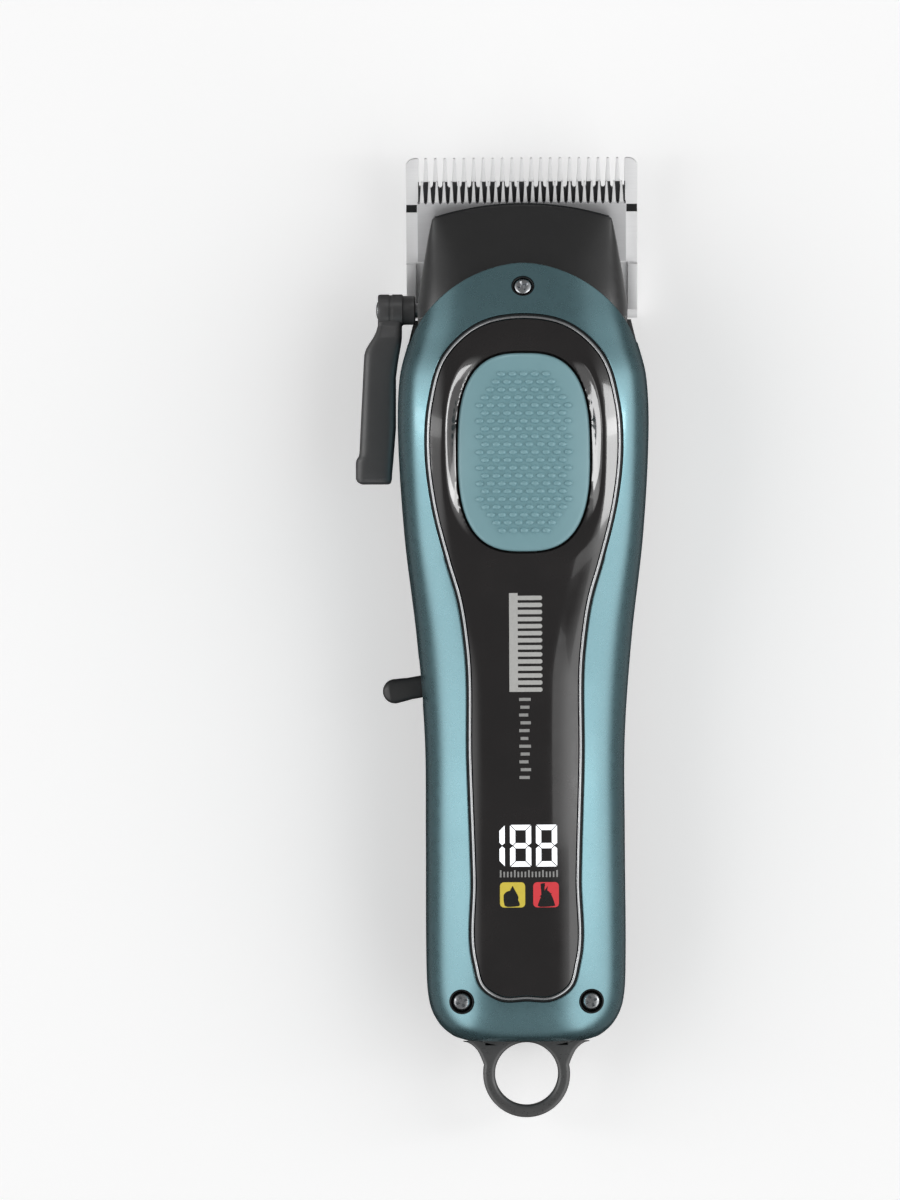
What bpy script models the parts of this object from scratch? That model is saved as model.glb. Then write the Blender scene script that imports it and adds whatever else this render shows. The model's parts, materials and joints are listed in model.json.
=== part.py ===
"""Cordless hair clipper with a tapered two-hole blade, as a Blender 4.5 script.

Frame: X is the width, with the taper lever and the power toggle on -X. +Y runs from the hanging
loop to the teeth, and +Z is the button side. The clipper lies on the flat of its rear housing,
which is at z = 0, and y = 0 is half way along the whole length.
Sizes are in millimetres, and MM turns them into Blender's metres when a mesh is made.
"""

import math

import bmesh
import bpy
from mathutils import Matrix, Vector

MM = 0.001
GAP = 0.3

# Casing: its stations along Y give half the width, the top and the bottom of the section.
STATIONS = (
    (-80.5, 12.0, 25.0, 5.6),
    (-79.6, 14.6, 27.2, 3.6),
    (-77.0, 17.5, 29.3, 1.4),
    (-73.0, 19.3, 30.6, 0.0),
    (-66.0, 19.9, 31.2, -0.8),
    (-40.0, 19.9, 31.4, -0.8),
    (-20.0, 20.0, 31.7, -0.8),
    (0.0, 21.5, 33.2, -0.8),
    (20.0, 23.8, 36.0, -0.8),
    (40.0, 25.0, 37.7, -0.8),
    (52.0, 24.6, 37.0, -0.8),
    (60.0, 22.6, 34.9, -0.6),
    (66.0, 21.3, 32.8, 0.2),
    (76.0, 20.4, 27.6, 2.0),
)
CASING_RINGS = (
    -80.5, -79.9, -78.6, -76.5, -73, -68, -56, -40, -24, -14, -5,
    4, 13, 22, 31, 40, 48, 55, 61, 66, 71, 76,
)
WIDEST_Z = 16.0
LOWER_POWER = 2.6
WALL = 2.0
PARTING_Z = 15.0
HOUSING_END_Y = 63.5

# Head cover: its own stations, from under the front shell to the cutter.
HEAD_STATIONS = (
    (58.0, 20.4, 32.3, -10.0),
    (65.0, 21.0, 30.2, -10.0),
    (70.0, 20.5, 28.2, -10.0),
    (76.0, 19.5, 24.6, -10.0),
    (81.0, 18.6, 20.6, -10.0),
    (84.5, 17.8, 17.6, -10.0),
    (88.0, 17.1, 14.6, -10.0),
)
HEAD_RINGS = (58, 61, 65, 69, 73, 77, 81, 84.5, 88)
COVER_WALL = 1.5

# Plan outlines.
ARCH = dict(centre_y=55.0, half_width=23.2, height=19.5, power=1.8, start_y=58.8)
PANEL_EDGE = (
    (0.0, 63.1), (8.4, 61.5), (15.1, 55.5), (17.9, 46.5), (18.5, 36.7), (17.5, 27.5),
    (14.6, 15.5), (12.3, 7.5), (10.9, -2.0), (10.5, -24.5), (9.8, -48.0), (9.6, -64.5),
    (8.2, -69.0), (5.0, -71.1), (0.0, -71.1),
)
TRIM_WIDTH = 1.0
LEDGE_DEPTH = 1.3
BUTTON_CENTRE_Y = 36.7
BUTTON_HALF = (13.1, 19.65)
BUTTON_POWER = 2.8
CARRIER_Z = (30.0, 31.0)
DISH_FLOOR_Z = 35.0

# Blade set: the plane where the cutter meets the fixed blade, tips up towards the button side.
BLADE_TILT = math.radians(18.0)
TIPS = Vector((0.0, 95.9, 13.4))
BLADE_HALF_WIDTH = 23.2
FIXED_THICKNESS = 2.6
FIXED_LENGTH = 33.4
FIXED_TEETH = 21
FIXED_PITCH = 1.92
FIXED_GAP_DEPTH = 6.3
CUTTER_HALF_WIDTH = 20.9
CUTTER_TIP = 4.6
CUTTER_ROOT = 8.9
CUTTER_END = 21.0
CUTTER_TEETH = 28
CUTTER_PITCH = 1.48
CUTTER_THICKNESS = 1.7
BLADE_SCREW = (12.0, 28.0)
RAIL_INNER_X = 21.2
RAIL_FRONT = 21.8
YOKE_PEG = (4.2, 17.0)

# Taper lever, its shaft and its crank.
TAPER_AXIS = Vector((0.0, 65.5, 15.0))
TAPER_SWING = math.radians(40.0)
TAPER_TRAVEL = 2.4
CRANK_RADIUS = TAPER_TRAVEL / (2 * math.sin(TAPER_SWING / 2))

# Motor, along Y.
MOTOR_Z = 14.0
MOTOR_RADIUS = 11.0
MOTOR_BACK_Y = 12.0
MOTOR_FRONT_Y = 46.0
BRACKET_SCREW = (10.6, 40.5)
STROKE = 1.2
PIN_RADIUS = 1.4

# Power side: battery, boards, toggle, loop.
BATTERY_RADIUS = 9.2
BATTERY_Z = 12.2
BATTERY_ENDS_Y = (-66.0, -1.0)
BOARD_Z = (23.2, 24.4)
BUTTON_BOARD_Z = (26.0, 27.0)
LEAD_RADIUS = 0.6
TOGGLE_AXIS = Vector((-14.6, -8.7, 16.0))
TOGGLE_TILT = math.radians(10.0)
TOGGLE_REACH = 13.9
SLIDER_REACH = 4.2
LOOP_CENTRE_Y = -87.3
LOOP_RADII = (6.3, 8.7)
LOOP_Z = (12.4, 17.6)
CASE_SCREW = (12.9, -72.4)
TOP_SCREW_Y = 69.8

LOOKS = {
    "teal_paint": ((0.10, 0.27, 0.31), 0.30, 0.75),
    "teal_satin": ((0.16, 0.36, 0.39), 0.50, 0.20),
    "black_gloss": ((0.012, 0.011, 0.012), 0.12, 0.0),
    "black_satin": ((0.018, 0.018, 0.018), 0.42, 0.0),
    "dark_metal": ((0.20, 0.21, 0.22), 0.30, 0.90),
    "blade_steel": ((0.56, 0.56, 0.57), 0.28, 1.0),
    "spring_steel": ((0.42, 0.42, 0.43), 0.30, 1.0),
    "zinc": ((0.62, 0.63, 0.64), 0.35, 1.0),
    "brass": ((0.60, 0.44, 0.18), 0.35, 1.0),
    "white_plastic": ((0.72, 0.72, 0.70), 0.50, 0.0),
    "board_green": ((0.02, 0.16, 0.06), 0.45, 0.0),
    "battery_wrap": ((0.06, 0.16, 0.42), 0.35, 0.0),
    "wire_red": ((0.50, 0.02, 0.02), 0.45, 0.0),
    "wire_black": ((0.015, 0.015, 0.015), 0.45, 0.0),
}


# ---------------------------------------------------------------- scene and material helpers


def clear_scene():
    for thing in list(bpy.data.objects):
        bpy.data.objects.remove(thing, do_unlink=True)


def new_collection(name):
    collection = bpy.data.collections.new(name)
    bpy.context.scene.collection.children.link(collection)
    return collection


def make_material(name):
    colour, roughness, metallic = LOOKS[name]
    material = bpy.data.materials.new(name)
    material.use_nodes = True
    shader = material.node_tree.nodes["Principled BSDF"]
    shader.inputs["Base Color"].default_value = (*colour, 1.0)
    shader.inputs["Roughness"].default_value = roughness
    shader.inputs["Metallic"].default_value = metallic
    material.diffuse_color = (*colour, 1.0)
    return material


def place(name, mesh, look=None, parent=None):
    """Links a mesh as a part when it has a look, or else as a hidden cutter."""
    piece = bpy.data.objects.new(name, mesh)
    if look:
        PARTS.objects.link(piece)
        mesh.materials.clear()
        mesh.materials.append(MATERIALS[look])
        mesh.shade_smooth()
        mesh.set_sharp_from_angle(angle=math.radians(32))
    else:
        CUTTERS.objects.link(piece)
        piece.hide_render = True
        piece.display_type = "WIRE"
    piece.parent = parent
    return piece


def set_origin(piece, point):
    """Moves a piece's origin to a point given in its parent's frame, with the shape left in place."""
    shift = Vector(point) * MM - piece.location
    piece.data.transform(Matrix.Translation(-shift))
    piece.location += shift


def boolean(piece, operation, other):
    modifier = piece.modifiers.new(f"{operation.lower()}_{other.name}", "BOOLEAN")
    modifier.operation = operation
    modifier.object = other
    modifier.solver = "EXACT"


def cut(piece, *others):
    for other in others:
        boolean(piece, "DIFFERENCE", other)
    return piece


def keep(piece, *others):
    for other in others:
        boolean(piece, "INTERSECT", other)
    return piece


def join(piece, *others):
    for other in others:
        boolean(piece, "UNION", other)
    return piece


# ---------------------------------------------------------------- shape helpers


def finish_mesh(bm, name):
    bmesh.ops.scale(bm, vec=(MM, MM, MM), verts=bm.verts)
    bmesh.ops.recalc_face_normals(bm, faces=bm.faces)
    mesh = bpy.data.meshes.new(name)
    bm.to_mesh(mesh)
    bm.free()
    return mesh


def box(name, low, high, look=None, parent=None, bevel=0.0):
    size = [top - bottom for bottom, top in zip(low, high)]
    centre = [(top + bottom) / 2 for bottom, top in zip(low, high)]
    bm = bmesh.new()
    bmesh.ops.create_cube(bm, size=1.0, matrix=Matrix.Translation(centre) @ Matrix.Diagonal((*size, 1)))
    piece = place(name, finish_mesh(bm, name), look, parent)
    if bevel:
        round_edges(piece, bevel)
    return piece


def round_edges(piece, width, segments=2, angle=40):
    modifier = piece.modifiers.new("rounded", "BEVEL")
    modifier.width = width * MM
    modifier.segments = segments
    modifier.limit_method = "ANGLE"
    modifier.angle_limit = math.radians(angle)


def cylinder(name, start, end, radius, look=None, parent=None, end_radius=None, sides=24):
    start = Vector(start)
    axis = Vector(end) - start
    turn = Vector((0, 0, 1)).rotation_difference(axis).to_matrix().to_4x4()
    bm = bmesh.new()
    bmesh.ops.create_cone(
        bm,
        cap_ends=True,
        segments=sides,
        radius1=radius,
        radius2=radius if end_radius is None else end_radius,
        depth=axis.length,
        matrix=Matrix.Translation(start + axis / 2) @ turn,
    )
    return place(name, finish_mesh(bm, name), look, parent)


def curve_to_mesh(guide, name):
    """The closed mesh of a curve object, with its caps welded. The curve is removed."""
    bpy.context.scene.collection.objects.link(guide)
    graph = bpy.context.evaluated_depsgraph_get()
    mesh = bpy.data.meshes.new_from_object(guide.evaluated_get(graph))
    mesh.name = name
    bm = bmesh.new()
    bm.from_mesh(mesh)
    bmesh.ops.remove_doubles(bm, verts=bm.verts, dist=1e-6)
    bmesh.ops.recalc_face_normals(bm, faces=bm.faces)
    bm.to_mesh(mesh)
    bm.free()
    bpy.data.objects.remove(guide, do_unlink=True)
    return mesh


def plate(name, outlines, low, high, look=None, parent=None):
    """A flat outline in XY, with any holes as further outlines, from z = low to z = high."""
    curve = bpy.data.curves.new(name, "CURVE")
    curve.dimensions = "2D"
    curve.fill_mode = "BOTH"
    curve.extrude = (high - low) / 2 * MM
    for outline in outlines:
        spline = curve.splines.new("POLY")
        spline.points.add(len(outline) - 1)
        spline.use_cyclic_u = True
        for point, (x, y) in zip(spline.points, outline):
            point.co = (x * MM, y * MM, 0.0, 1.0)
    mesh = curve_to_mesh(bpy.data.objects.new(name, curve), name)
    mesh.transform(Matrix.Translation((0.0, 0.0, (low + high) / 2 * MM)))
    return place(name, mesh, look, parent)


def side_plate(name, outlines, low_x, high_x, look=None, parent=None):
    """A flat outline given in YZ, from x = low_x to x = high_x."""
    piece = plate(name, outlines, low_x, high_x, look, parent)
    # The outline's own x, y and z become y, z and x.
    piece.data.transform(Matrix(((0, 0, 1, 0), (1, 0, 0, 0), (0, 1, 0, 0), (0, 0, 0, 1))))
    return piece


def tube(name, points, radius, look, parent=None, resolution=1):
    curve = bpy.data.curves.new(name, "CURVE")
    curve.dimensions = "3D"
    curve.bevel_depth = radius * MM
    curve.bevel_resolution = resolution
    curve.use_fill_caps = True
    spline = curve.splines.new("POLY")
    spline.points.add(len(points) - 1)
    for point, place_mm in zip(spline.points, points):
        point.co = (*(Vector(place_mm) * MM), 1.0)
    return place(name, curve_to_mesh(bpy.data.objects.new(name, curve), name), look, parent)


def turned(name, profile, centre, axis, look=None, parent=None, steps=24):
    """A profile of (radius, height), listed from its top down, turned about an axis."""
    bm = bmesh.new()
    points = [bm.verts.new((radius, 0.0, height)) for radius, height in profile]
    for upper, lower in zip(points, points[1:]):
        bm.edges.new((upper, lower))
    piece = place(name, finish_mesh(bm, name), look, parent)
    modifier = piece.modifiers.new("turned", "SCREW")
    modifier.steps = steps
    modifier.render_steps = steps
    modifier.use_merge_vertices = True
    modifier.merge_threshold = 0.00005
    modifier.use_smooth_shade = True
    piece.rotation_mode = "QUATERNION"
    piece.rotation_quaternion = Vector((0, 0, 1)).rotation_difference(Vector(axis))
    piece.location = Vector(centre) * MM
    return piece


def loft(name, rings, look=None, parent=None):
    """A closed solid through rings that have the same number of points."""
    bm = bmesh.new()
    rows = [[bm.verts.new(point) for point in ring] for ring in rings]
    for first, second in zip(rows, rows[1:]):
        for index in range(len(first)):
            following = (index + 1) % len(first)
            bm.faces.new((first[index], first[following], second[following], second[index]))
    bm.faces.new(rows[0])
    bm.faces.new(rows[-1])
    return place(name, finish_mesh(bm, name), look, parent)


def smooth_value(stations, y, column):
    """A smooth curve through one column of the stations, read at y."""
    last = len(stations) - 1
    index = max(i for i in range(last) if stations[i][0] <= y or i == 0)
    start, end = stations[index], stations[index + 1]
    before = stations[max(index - 1, 0)]
    after = stations[min(index + 2, last)]
    span = end[0] - start[0]
    slope_in = (end[column] - before[column]) / (end[0] - before[0]) * span
    slope_out = (after[column] - start[column]) / (after[0] - start[0]) * span
    t = min(max((y - start[0]) / span, 0.0), 1.0)
    return (
        (2 * t**3 - 3 * t**2 + 1) * start[column]
        + (t**3 - 2 * t**2 + t) * slope_in
        + (3 * t**2 - 2 * t**3) * end[column]
        + (t**3 - t**2) * slope_out
    )


def signed_power(value, exponent):
    return math.copysign(abs(value) ** exponent, value)


def upper_power(y):
    """How square the section's upper half is: a soft handle, and a boxier body around the button."""
    rise = min(max((y + 10) / 38, 0.0), 1.0)
    fall = min(max((80 - y) / 30, 0.0), 1.0)
    return 2.5 + 1.5 * rise * rise * (3 - 2 * rise) * fall * fall * (3 - 2 * fall)


def section(stations, y, inset, sides=24):
    """The casing's closed section at y: a soft rounded shape with a flat underneath."""
    half_width = smooth_value(stations, y, 1) - inset
    top = smooth_value(stations, y, 2) - inset
    bottom = smooth_value(stations, y, 3) + inset
    ring = []
    for index in range(sides):
        angle = 2 * math.pi * index / sides
        power = upper_power(y) if math.sin(angle) >= 0 else LOWER_POWER
        reach = top - WIDEST_Z if math.sin(angle) >= 0 else WIDEST_Z - bottom
        x = half_width * signed_power(math.cos(angle), 2 / power)
        z = WIDEST_Z + reach * signed_power(math.sin(angle), 2 / power)
        ring.append((x, y, max(z, inset)))
    return ring


def casing(name, inset, look=None, stations=STATIONS, ys=CASING_RINGS):
    """The casing's outer form, or the same form shrunk by the inset on every side but the head's."""
    first = ys[0] + max(inset, 0.0)
    kept = [first] + [y for y in ys if y > first + 0.2]
    rings = [section(stations, y, inset) for y in kept]
    if inset:
        rings[-1] = [(x, y + 4.0, z) for x, y, z in rings[-1]]
    return loft(name, rings, look)


def casing_top(y):
    return smooth_value(STATIONS, y, 2)


def superellipse(half_x, half_y, power, centre_y=0.0, points=40):
    outline = []
    for index in range(points):
        angle = 2 * math.pi * index / points
        x = half_x * signed_power(math.cos(angle), 2 / power)
        y = half_y * signed_power(math.sin(angle), 2 / power)
        outline.append((x, centre_y + y))
    return outline


def arc(centre, radius, start, end, count):
    """Points on an arc, with its angles in degrees."""
    angles = [math.radians(start + (end - start) * index / (count - 1)) for index in range(count)]
    return [(centre[0] + radius * math.cos(a), centre[1] + radius * math.sin(a)) for a in angles]


def halfway(before, start, end, after):
    """The middle of the smooth curve from start to end, given the points on either side of them."""
    return tuple((9 * (b + c) - a - d) / 16 for a, b, c, d in zip(before, start, end, after))


def panel_outline(grow):
    """The front panel's closed outline, grown by a distance along its own normals."""
    right = []
    for index, point in enumerate(PANEL_EDGE):
        right.append(point)
        if 0 < index < len(PANEL_EDGE) - 2 and point[1] > 10:
            right.append(halfway(*PANEL_EDGE[index - 1 : index + 3]))
    right.insert(1, halfway((-8.4, 61.5), *PANEL_EDGE[:3]))
    left = [(-x, y) for x, y in reversed(right[1:-1])]
    points = [Vector(p) for p in right + left]
    outline = []
    for index, point in enumerate(points):
        before = points[index - 1]
        after = points[(index + 1) % len(points)]
        along = (after - before).normalized()
        outline.append(tuple(point + Vector((-along.y, along.x)) * grow))
    return outline


def along_blade(back, height, x=0.0):
    """A point of the blade frame, given back from the tips and above the plane, in the part's frame."""
    forward = Vector((0.0, math.cos(BLADE_TILT), math.sin(BLADE_TILT)))
    upward = Vector((0.0, -math.sin(BLADE_TILT), math.cos(BLADE_TILT)))
    return TIPS - forward * back + upward * height + Vector((x, 0.0, 0.0))


def blade_place(y, z):
    """Where a point of the part's frame lies in the blade frame, as (back, height)."""
    offset_y = y - TIPS.y
    offset_z = z - TIPS.z
    back = -(offset_y * math.cos(BLADE_TILT) + offset_z * math.sin(BLADE_TILT))
    height = -offset_y * math.sin(BLADE_TILT) + offset_z * math.cos(BLADE_TILT)
    return back, height


def screw(name, seat, axis, head_radius, shank_radius, length, look="zinc", parent=None):
    """A cross-head screw: its head stands on the seat point, and its shank runs back along the axis."""
    head = 1.3
    profile = (
        (0.0, head),
        (head_radius * 0.72, head),
        (head_radius, head * 0.55),
        (head_radius, 0.0),
        (shank_radius, 0.0),
        (shank_radius, -length + 1.0),
        (0.0, -length),
    )
    piece = turned(name, profile, seat, axis, look, parent, steps=12)
    for index, turn in enumerate((0.0, math.pi / 2)):
        arm = box(
            f"cut_{name}_cross_{index}",
            (-head_radius * 0.62, -0.28, head - 0.75),
            (head_radius * 0.62, 0.28, head + 0.5),
            parent=piece,
        )
        arm.rotation_euler.z = turn
        cut(piece, arm)
    return piece


# ---------------------------------------------------------------- the casing


def make_casings():
    arch = ARCH
    arch_edge = []
    for index in range(25):
        angle = math.pi * index / 24
        x = arch["half_width"] * signed_power(math.cos(angle), 2 / arch["power"])
        y = arch["centre_y"] + arch["height"] * math.sin(angle) ** (2 / arch["power"])
        if y > arch["start_y"]:
            arch_edge.append((x, y))
    beyond_arch = [(40, arch["start_y"]), *arch_edge, (-40, arch["start_y"]), (-40, 95), (40, 95)]

    shell = casing("front_shell", 0.0, "teal_paint")
    housing = casing("rear_housing", 0.0, "black_satin")
    hollow = casing("cut_hollow", WALL)
    below = box("cut_below_parting", (-50, -100, -20), (50, 100, PARTING_Z + GAP / 2))
    above = box("cut_above_parting", (-50, -100, PARTING_Z - GAP / 2), (50, 100, 60))
    past_end = box("cut_past_housing", (-50, HOUSING_END_Y, -20), (50, 100, 60))
    arch_cutter = plate("cut_beyond_arch", [beyond_arch], 0, 60)
    head_room = casing("cut_head_room", -GAP - 0.05, stations=HEAD_STATIONS, ys=HEAD_RINGS)

    window = plate("cut_panel_window", [panel_outline(-1.2)], 20, 60)
    ledge = plate("cut_panel_ledge", [panel_outline(TRIM_WIDTH + 0.5)], 20, 60)
    cut(ledge, casing("cut_ledge_floor", LEDGE_DEPTH))
    cut(shell, hollow, below, arch_cutter, head_room, ledge, window)

    lever_room = across("cut_lever_room", -32, -20.5, 3.3)
    cut(housing, hollow, above, past_end, lever_room)
    for side, label in ((-1, "left"), (1, "right")):
        x, y = side * CASE_SCREW[0], CASE_SCREW[1]
        boss = keep(
            cylinder(f"cut_boss_{label}", (x, y, 24.0), (x, y, 40.0), 3.4, sides=20),
            casing(f"cut_boss_trim_{label}", 0.0),
        )
        join(shell, boss)
        cut(
            shell,
            cylinder(f"cut_counterbore_{label}", (x, y, 26.0), (x, y, 40.0), 2.5, sides=20),
            cylinder(f"cut_clearance_{label}", (x, y, 20.0), (x, y, 30.0), 1.4, sides=12),
        )
        post = cylinder(f"cut_post_{label}", (x, y, 0.2), (x, y, 22.6), 2.6, sides=16)
        keep(post, casing(f"cut_post_trim_{label}", 0.6))
        join(housing, post)
        cut(housing, cylinder(f"cut_pilot_{label}", (x, y, 10.0), (x, y, 30.0), 1.3, sides=12))
        screw(f"case_screw_{label}", (x, y, 26.1), (0, 0, 1), 1.85, 1.1, 14.0)

    # The side slot for the power toggle crosses the parting line, and so do the loop's slot and ends.
    slot = box("cut_toggle_slot", (-24.0, -13.2, 13.4), (-17.0, -4.2, 18.6))
    loop_slot = box("cut_loop_slot", (-9.4, -85.0, LOOP_Z[0] - GAP), (9.4, -76.0, LOOP_Z[1] + GAP))
    port_hole = box("cut_port_hole", (-4.8, -85.0, 6.6), (4.8, -76.0, 10.6))
    round_edges(port_hole, 1.5)
    cut(shell, slot, loop_slot)
    cut(housing, slot, loop_slot, port_hole)

    # The toggle's pin stands in a post on the floor of the housing.
    x, y = TOGGLE_AXIS.x, TOGGLE_AXIS.y
    toggle_post = cylinder("cut_toggle_post", (x, y, 0.2), (x, y, 11.8), 2.5, sides=16)
    keep(toggle_post, casing("cut_toggle_post_trim", 0.6))
    join(housing, toggle_post)
    cut(housing, cylinder("cut_toggle_post_bore", (x, y, 5.0), (x, y, 14.0), 1.25, sides=12))

    # Top screw: it stands square to the sloping front and bites into the head cover.
    slope = (casing_top(TOP_SCREW_Y + 1) - casing_top(TOP_SCREW_Y - 1)) / 2
    axis = Vector((0.0, -slope, 1.0)).normalized()
    seat = Vector((0.0, TOP_SCREW_Y, casing_top(TOP_SCREW_Y))) - axis * 1.25
    cut(
        shell,
        cylinder("cut_counterbore_top", seat, seat + axis * 8, 2.3, sides=20),
        cylinder("cut_clearance_top", seat - axis * 8, seat + axis, 1.2, sides=12),
    )
    screw("case_screw_top", seat + axis * 0.08, axis, 1.75, 1.0, 8.0)
    make_head_cover(seat, axis)


def make_head_cover(screw_seat, screw_axis):
    cover = casing("head_cover", 0.0, "black_satin", HEAD_STATIONS, HEAD_RINGS)
    inner_stations = [(50.0, *HEAD_STATIONS[0][1:]), *HEAD_STATIONS[1:]]
    hollow = casing("cut_cover_hollow", COVER_WALL, None, inner_stations, (50, *HEAD_RINGS[1:]))
    frame = blade_frame("guide_cover_plane")
    under = box("cut_cover_under", (-40, -60, -30), (40, 40, 2.1), parent=frame)
    behind = box("cut_cover_behind", (-40, 40, -10), (40, HOUSING_END_Y + GAP, PARTING_Z + 0.45))
    front_edge = [(-17.8, 84.0), *arc((0.0, 26.0), 60.6, 106.5, 73.5, 13), (17.8, 84.0)]
    front_edge = [(-40, 84.0), *front_edge, (40, 84.0), (40, 100), (-40, 100)]
    ahead = plate("cut_cover_ahead", [front_edge], -10, 40)
    boss_start, boss_end = screw_seat - screw_axis * 7.5, screw_seat - screw_axis * 0.9
    boss = cylinder("cut_cover_boss", boss_start, boss_end, 2.6, sides=16)
    boss_trim = casing("cut_cover_boss_trim", 0.3, None, HEAD_STATIONS, HEAD_RINGS)
    keep(boss, boss_trim)
    bore = cylinder("cut_cover_bore", screw_seat - screw_axis * 12, screw_seat, 1.2, sides=12)
    lever_hole = across("cut_cover_lever_hole", -26, -15, 1.9)
    cut(cover, hollow)
    join(cover, boss)
    cut(cover, bore, under, behind, ahead, lever_hole)


def make_panel():
    panel = casing("front_panel", 0.1, "black_gloss")
    keep(panel, plate("cut_panel_outline", [panel_outline(0.0)], 20, 60))
    cut(panel, casing("cut_panel_under", 2.7))
    # Outside the window the panel is only a thin flange that lies on the ledge.
    below_flange = plate("cut_below_flange", [panel_outline(3.0), panel_outline(-1.5)], 10, 60)
    keep(below_flange, casing("cut_flange_limit", LEDGE_DEPTH - GAP))
    cut(panel, below_flange)

    half_x, half_y = BUTTON_HALF
    dish_rings = []
    for grow_x, grow_y, z in ((0.9, 0.9, DISH_FLOOR_Z), (2.6, 3.2, 36.4), (4.4, 5.4, 39.0)):
        outline = superellipse(half_x + grow_x, half_y + grow_y, BUTTON_POWER, BUTTON_CENTRE_Y, 40)
        dish_rings.append([(x, y, z) for x, y in outline])
    cut(panel, loft("cut_dish", dish_rings))
    hole = superellipse(half_x + 0.5, half_y + 0.5, BUTTON_POWER, BUTTON_CENTRE_Y, 40)
    cut(panel, plate("cut_button_hole", [hole], 20, 50))

    trim = casing("panel_trim", 0.0, "dark_metal")
    ring = plate("cut_trim_ring", [panel_outline(TRIM_WIDTH + 0.2), panel_outline(GAP)], 20, 60)
    keep(trim, ring)
    cut(trim, casing("cut_trim_under", LEDGE_DEPTH - GAP))


# ---------------------------------------------------------------- the button


def make_button():
    half_x, half_y = BUTTON_HALF
    rings = []
    for shrink, z in ((0.0, 31.3), (0.0, 34.9), (0.5, 35.5), (3.5, 36.3), (8.5, 36.9)):
        outline = superellipse(half_x - shrink, half_y - shrink, BUTTON_POWER, BUTTON_CENTRE_Y, 40)
        rings.append([(x, y, z) for x, y in outline])
    pad = loft("button_pad", rings, "teal_satin")
    set_origin(pad, (0, BUTTON_CENTRE_Y, 31.3))

    flange = superellipse(half_x + 0.9, half_y + 0.9, BUTTON_POWER, BUTTON_CENTRE_Y, 32)
    carrier = plate("button_carrier", [flange], *CARRIER_Z, "black_satin")
    set_origin(carrier, (0, BUTTON_CENTRE_Y, CARRIER_Z[0]))
    for side, label in ((1, "upper"), (-1, "lower")):
        y = BUTTON_CENTRE_Y + side * 13.0
        cut(carrier, cylinder(f"cut_spring_seat_{label}", (0, y, 29.0), (0, y, 30.5), 2.6, sides=16))
        turns, per_turn, radius = 3, 10, 2.0
        count = turns * per_turn
        coil = []
        for index in range(count + 1):
            angle = 2 * math.pi * index / per_turn
            z = 27.45 + (30.2 - 27.45) * index / count
            coil.append((radius * math.cos(angle), y + radius * math.sin(angle), z))
        spring = tube(f"button_spring_{label}", coil, 0.2, "spring_steel", resolution=0)
        set_origin(spring, (0, y, 27.3))

    board = [(-8, 20), (8, 20), (8, 54), (-8, 54)]
    plate("button_board", [board], *BUTTON_BOARD_Z, "board_green")
    body = box("button_switch", (-3, 33.7, 27.3), (3, 39.7, 29.0), "black_satin")
    cut(body, cylinder("cut_switch_stem_hole", (0, 36.7, 27.6), (0, 36.7, 30.0), 1.7, sides=16))
    stem = cylinder("button_switch_stem", (0, 36.7, 28.6), (0, 36.7, 29.7), 1.4, "white_plastic", sides=16)
    set_origin(stem, (0, BUTTON_CENTRE_Y, 29.7))


# ---------------------------------------------------------------- blades and taper


def blade_frame(name):
    empty = bpy.data.objects.new(name, None)
    bpy.context.scene.collection.objects.link(empty)
    empty.location = TIPS * MM
    empty.rotation_euler.x = BLADE_TILT
    return empty


def comb_outline(half_width, tip, root, end, teeth, pitch, tip_width, root_width, wide_ends):
    """A blade's outline in its own plane, teeth towards +Y, symmetric about x = 0."""
    first = -(teeth - 1) / 2 * pitch
    points = [(-half_width, -end)]
    if wide_ends:
        inner = first - pitch + root_width / 2
        points += [(-half_width, -tip - 1.6), (-half_width + 0.8, -tip - 0.2)]
        points += [(-half_width + 1.6, -tip), (inner - 0.35, -tip), (inner, -tip - 1.2), (inner, -root)]
    else:
        points += [(-half_width, -root)]
    for index in range(teeth):
        x = first + index * pitch
        points += [
            (x - root_width / 2, -root),
            (x - tip_width / 2, -tip - 0.3),
            (x, -tip),
            (x + tip_width / 2, -tip - 0.3),
            (x + root_width / 2, -root),
        ]
    points += [(-x, y) for x, y in reversed(points[: len(points) - 5 * teeth])]
    return points


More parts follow.
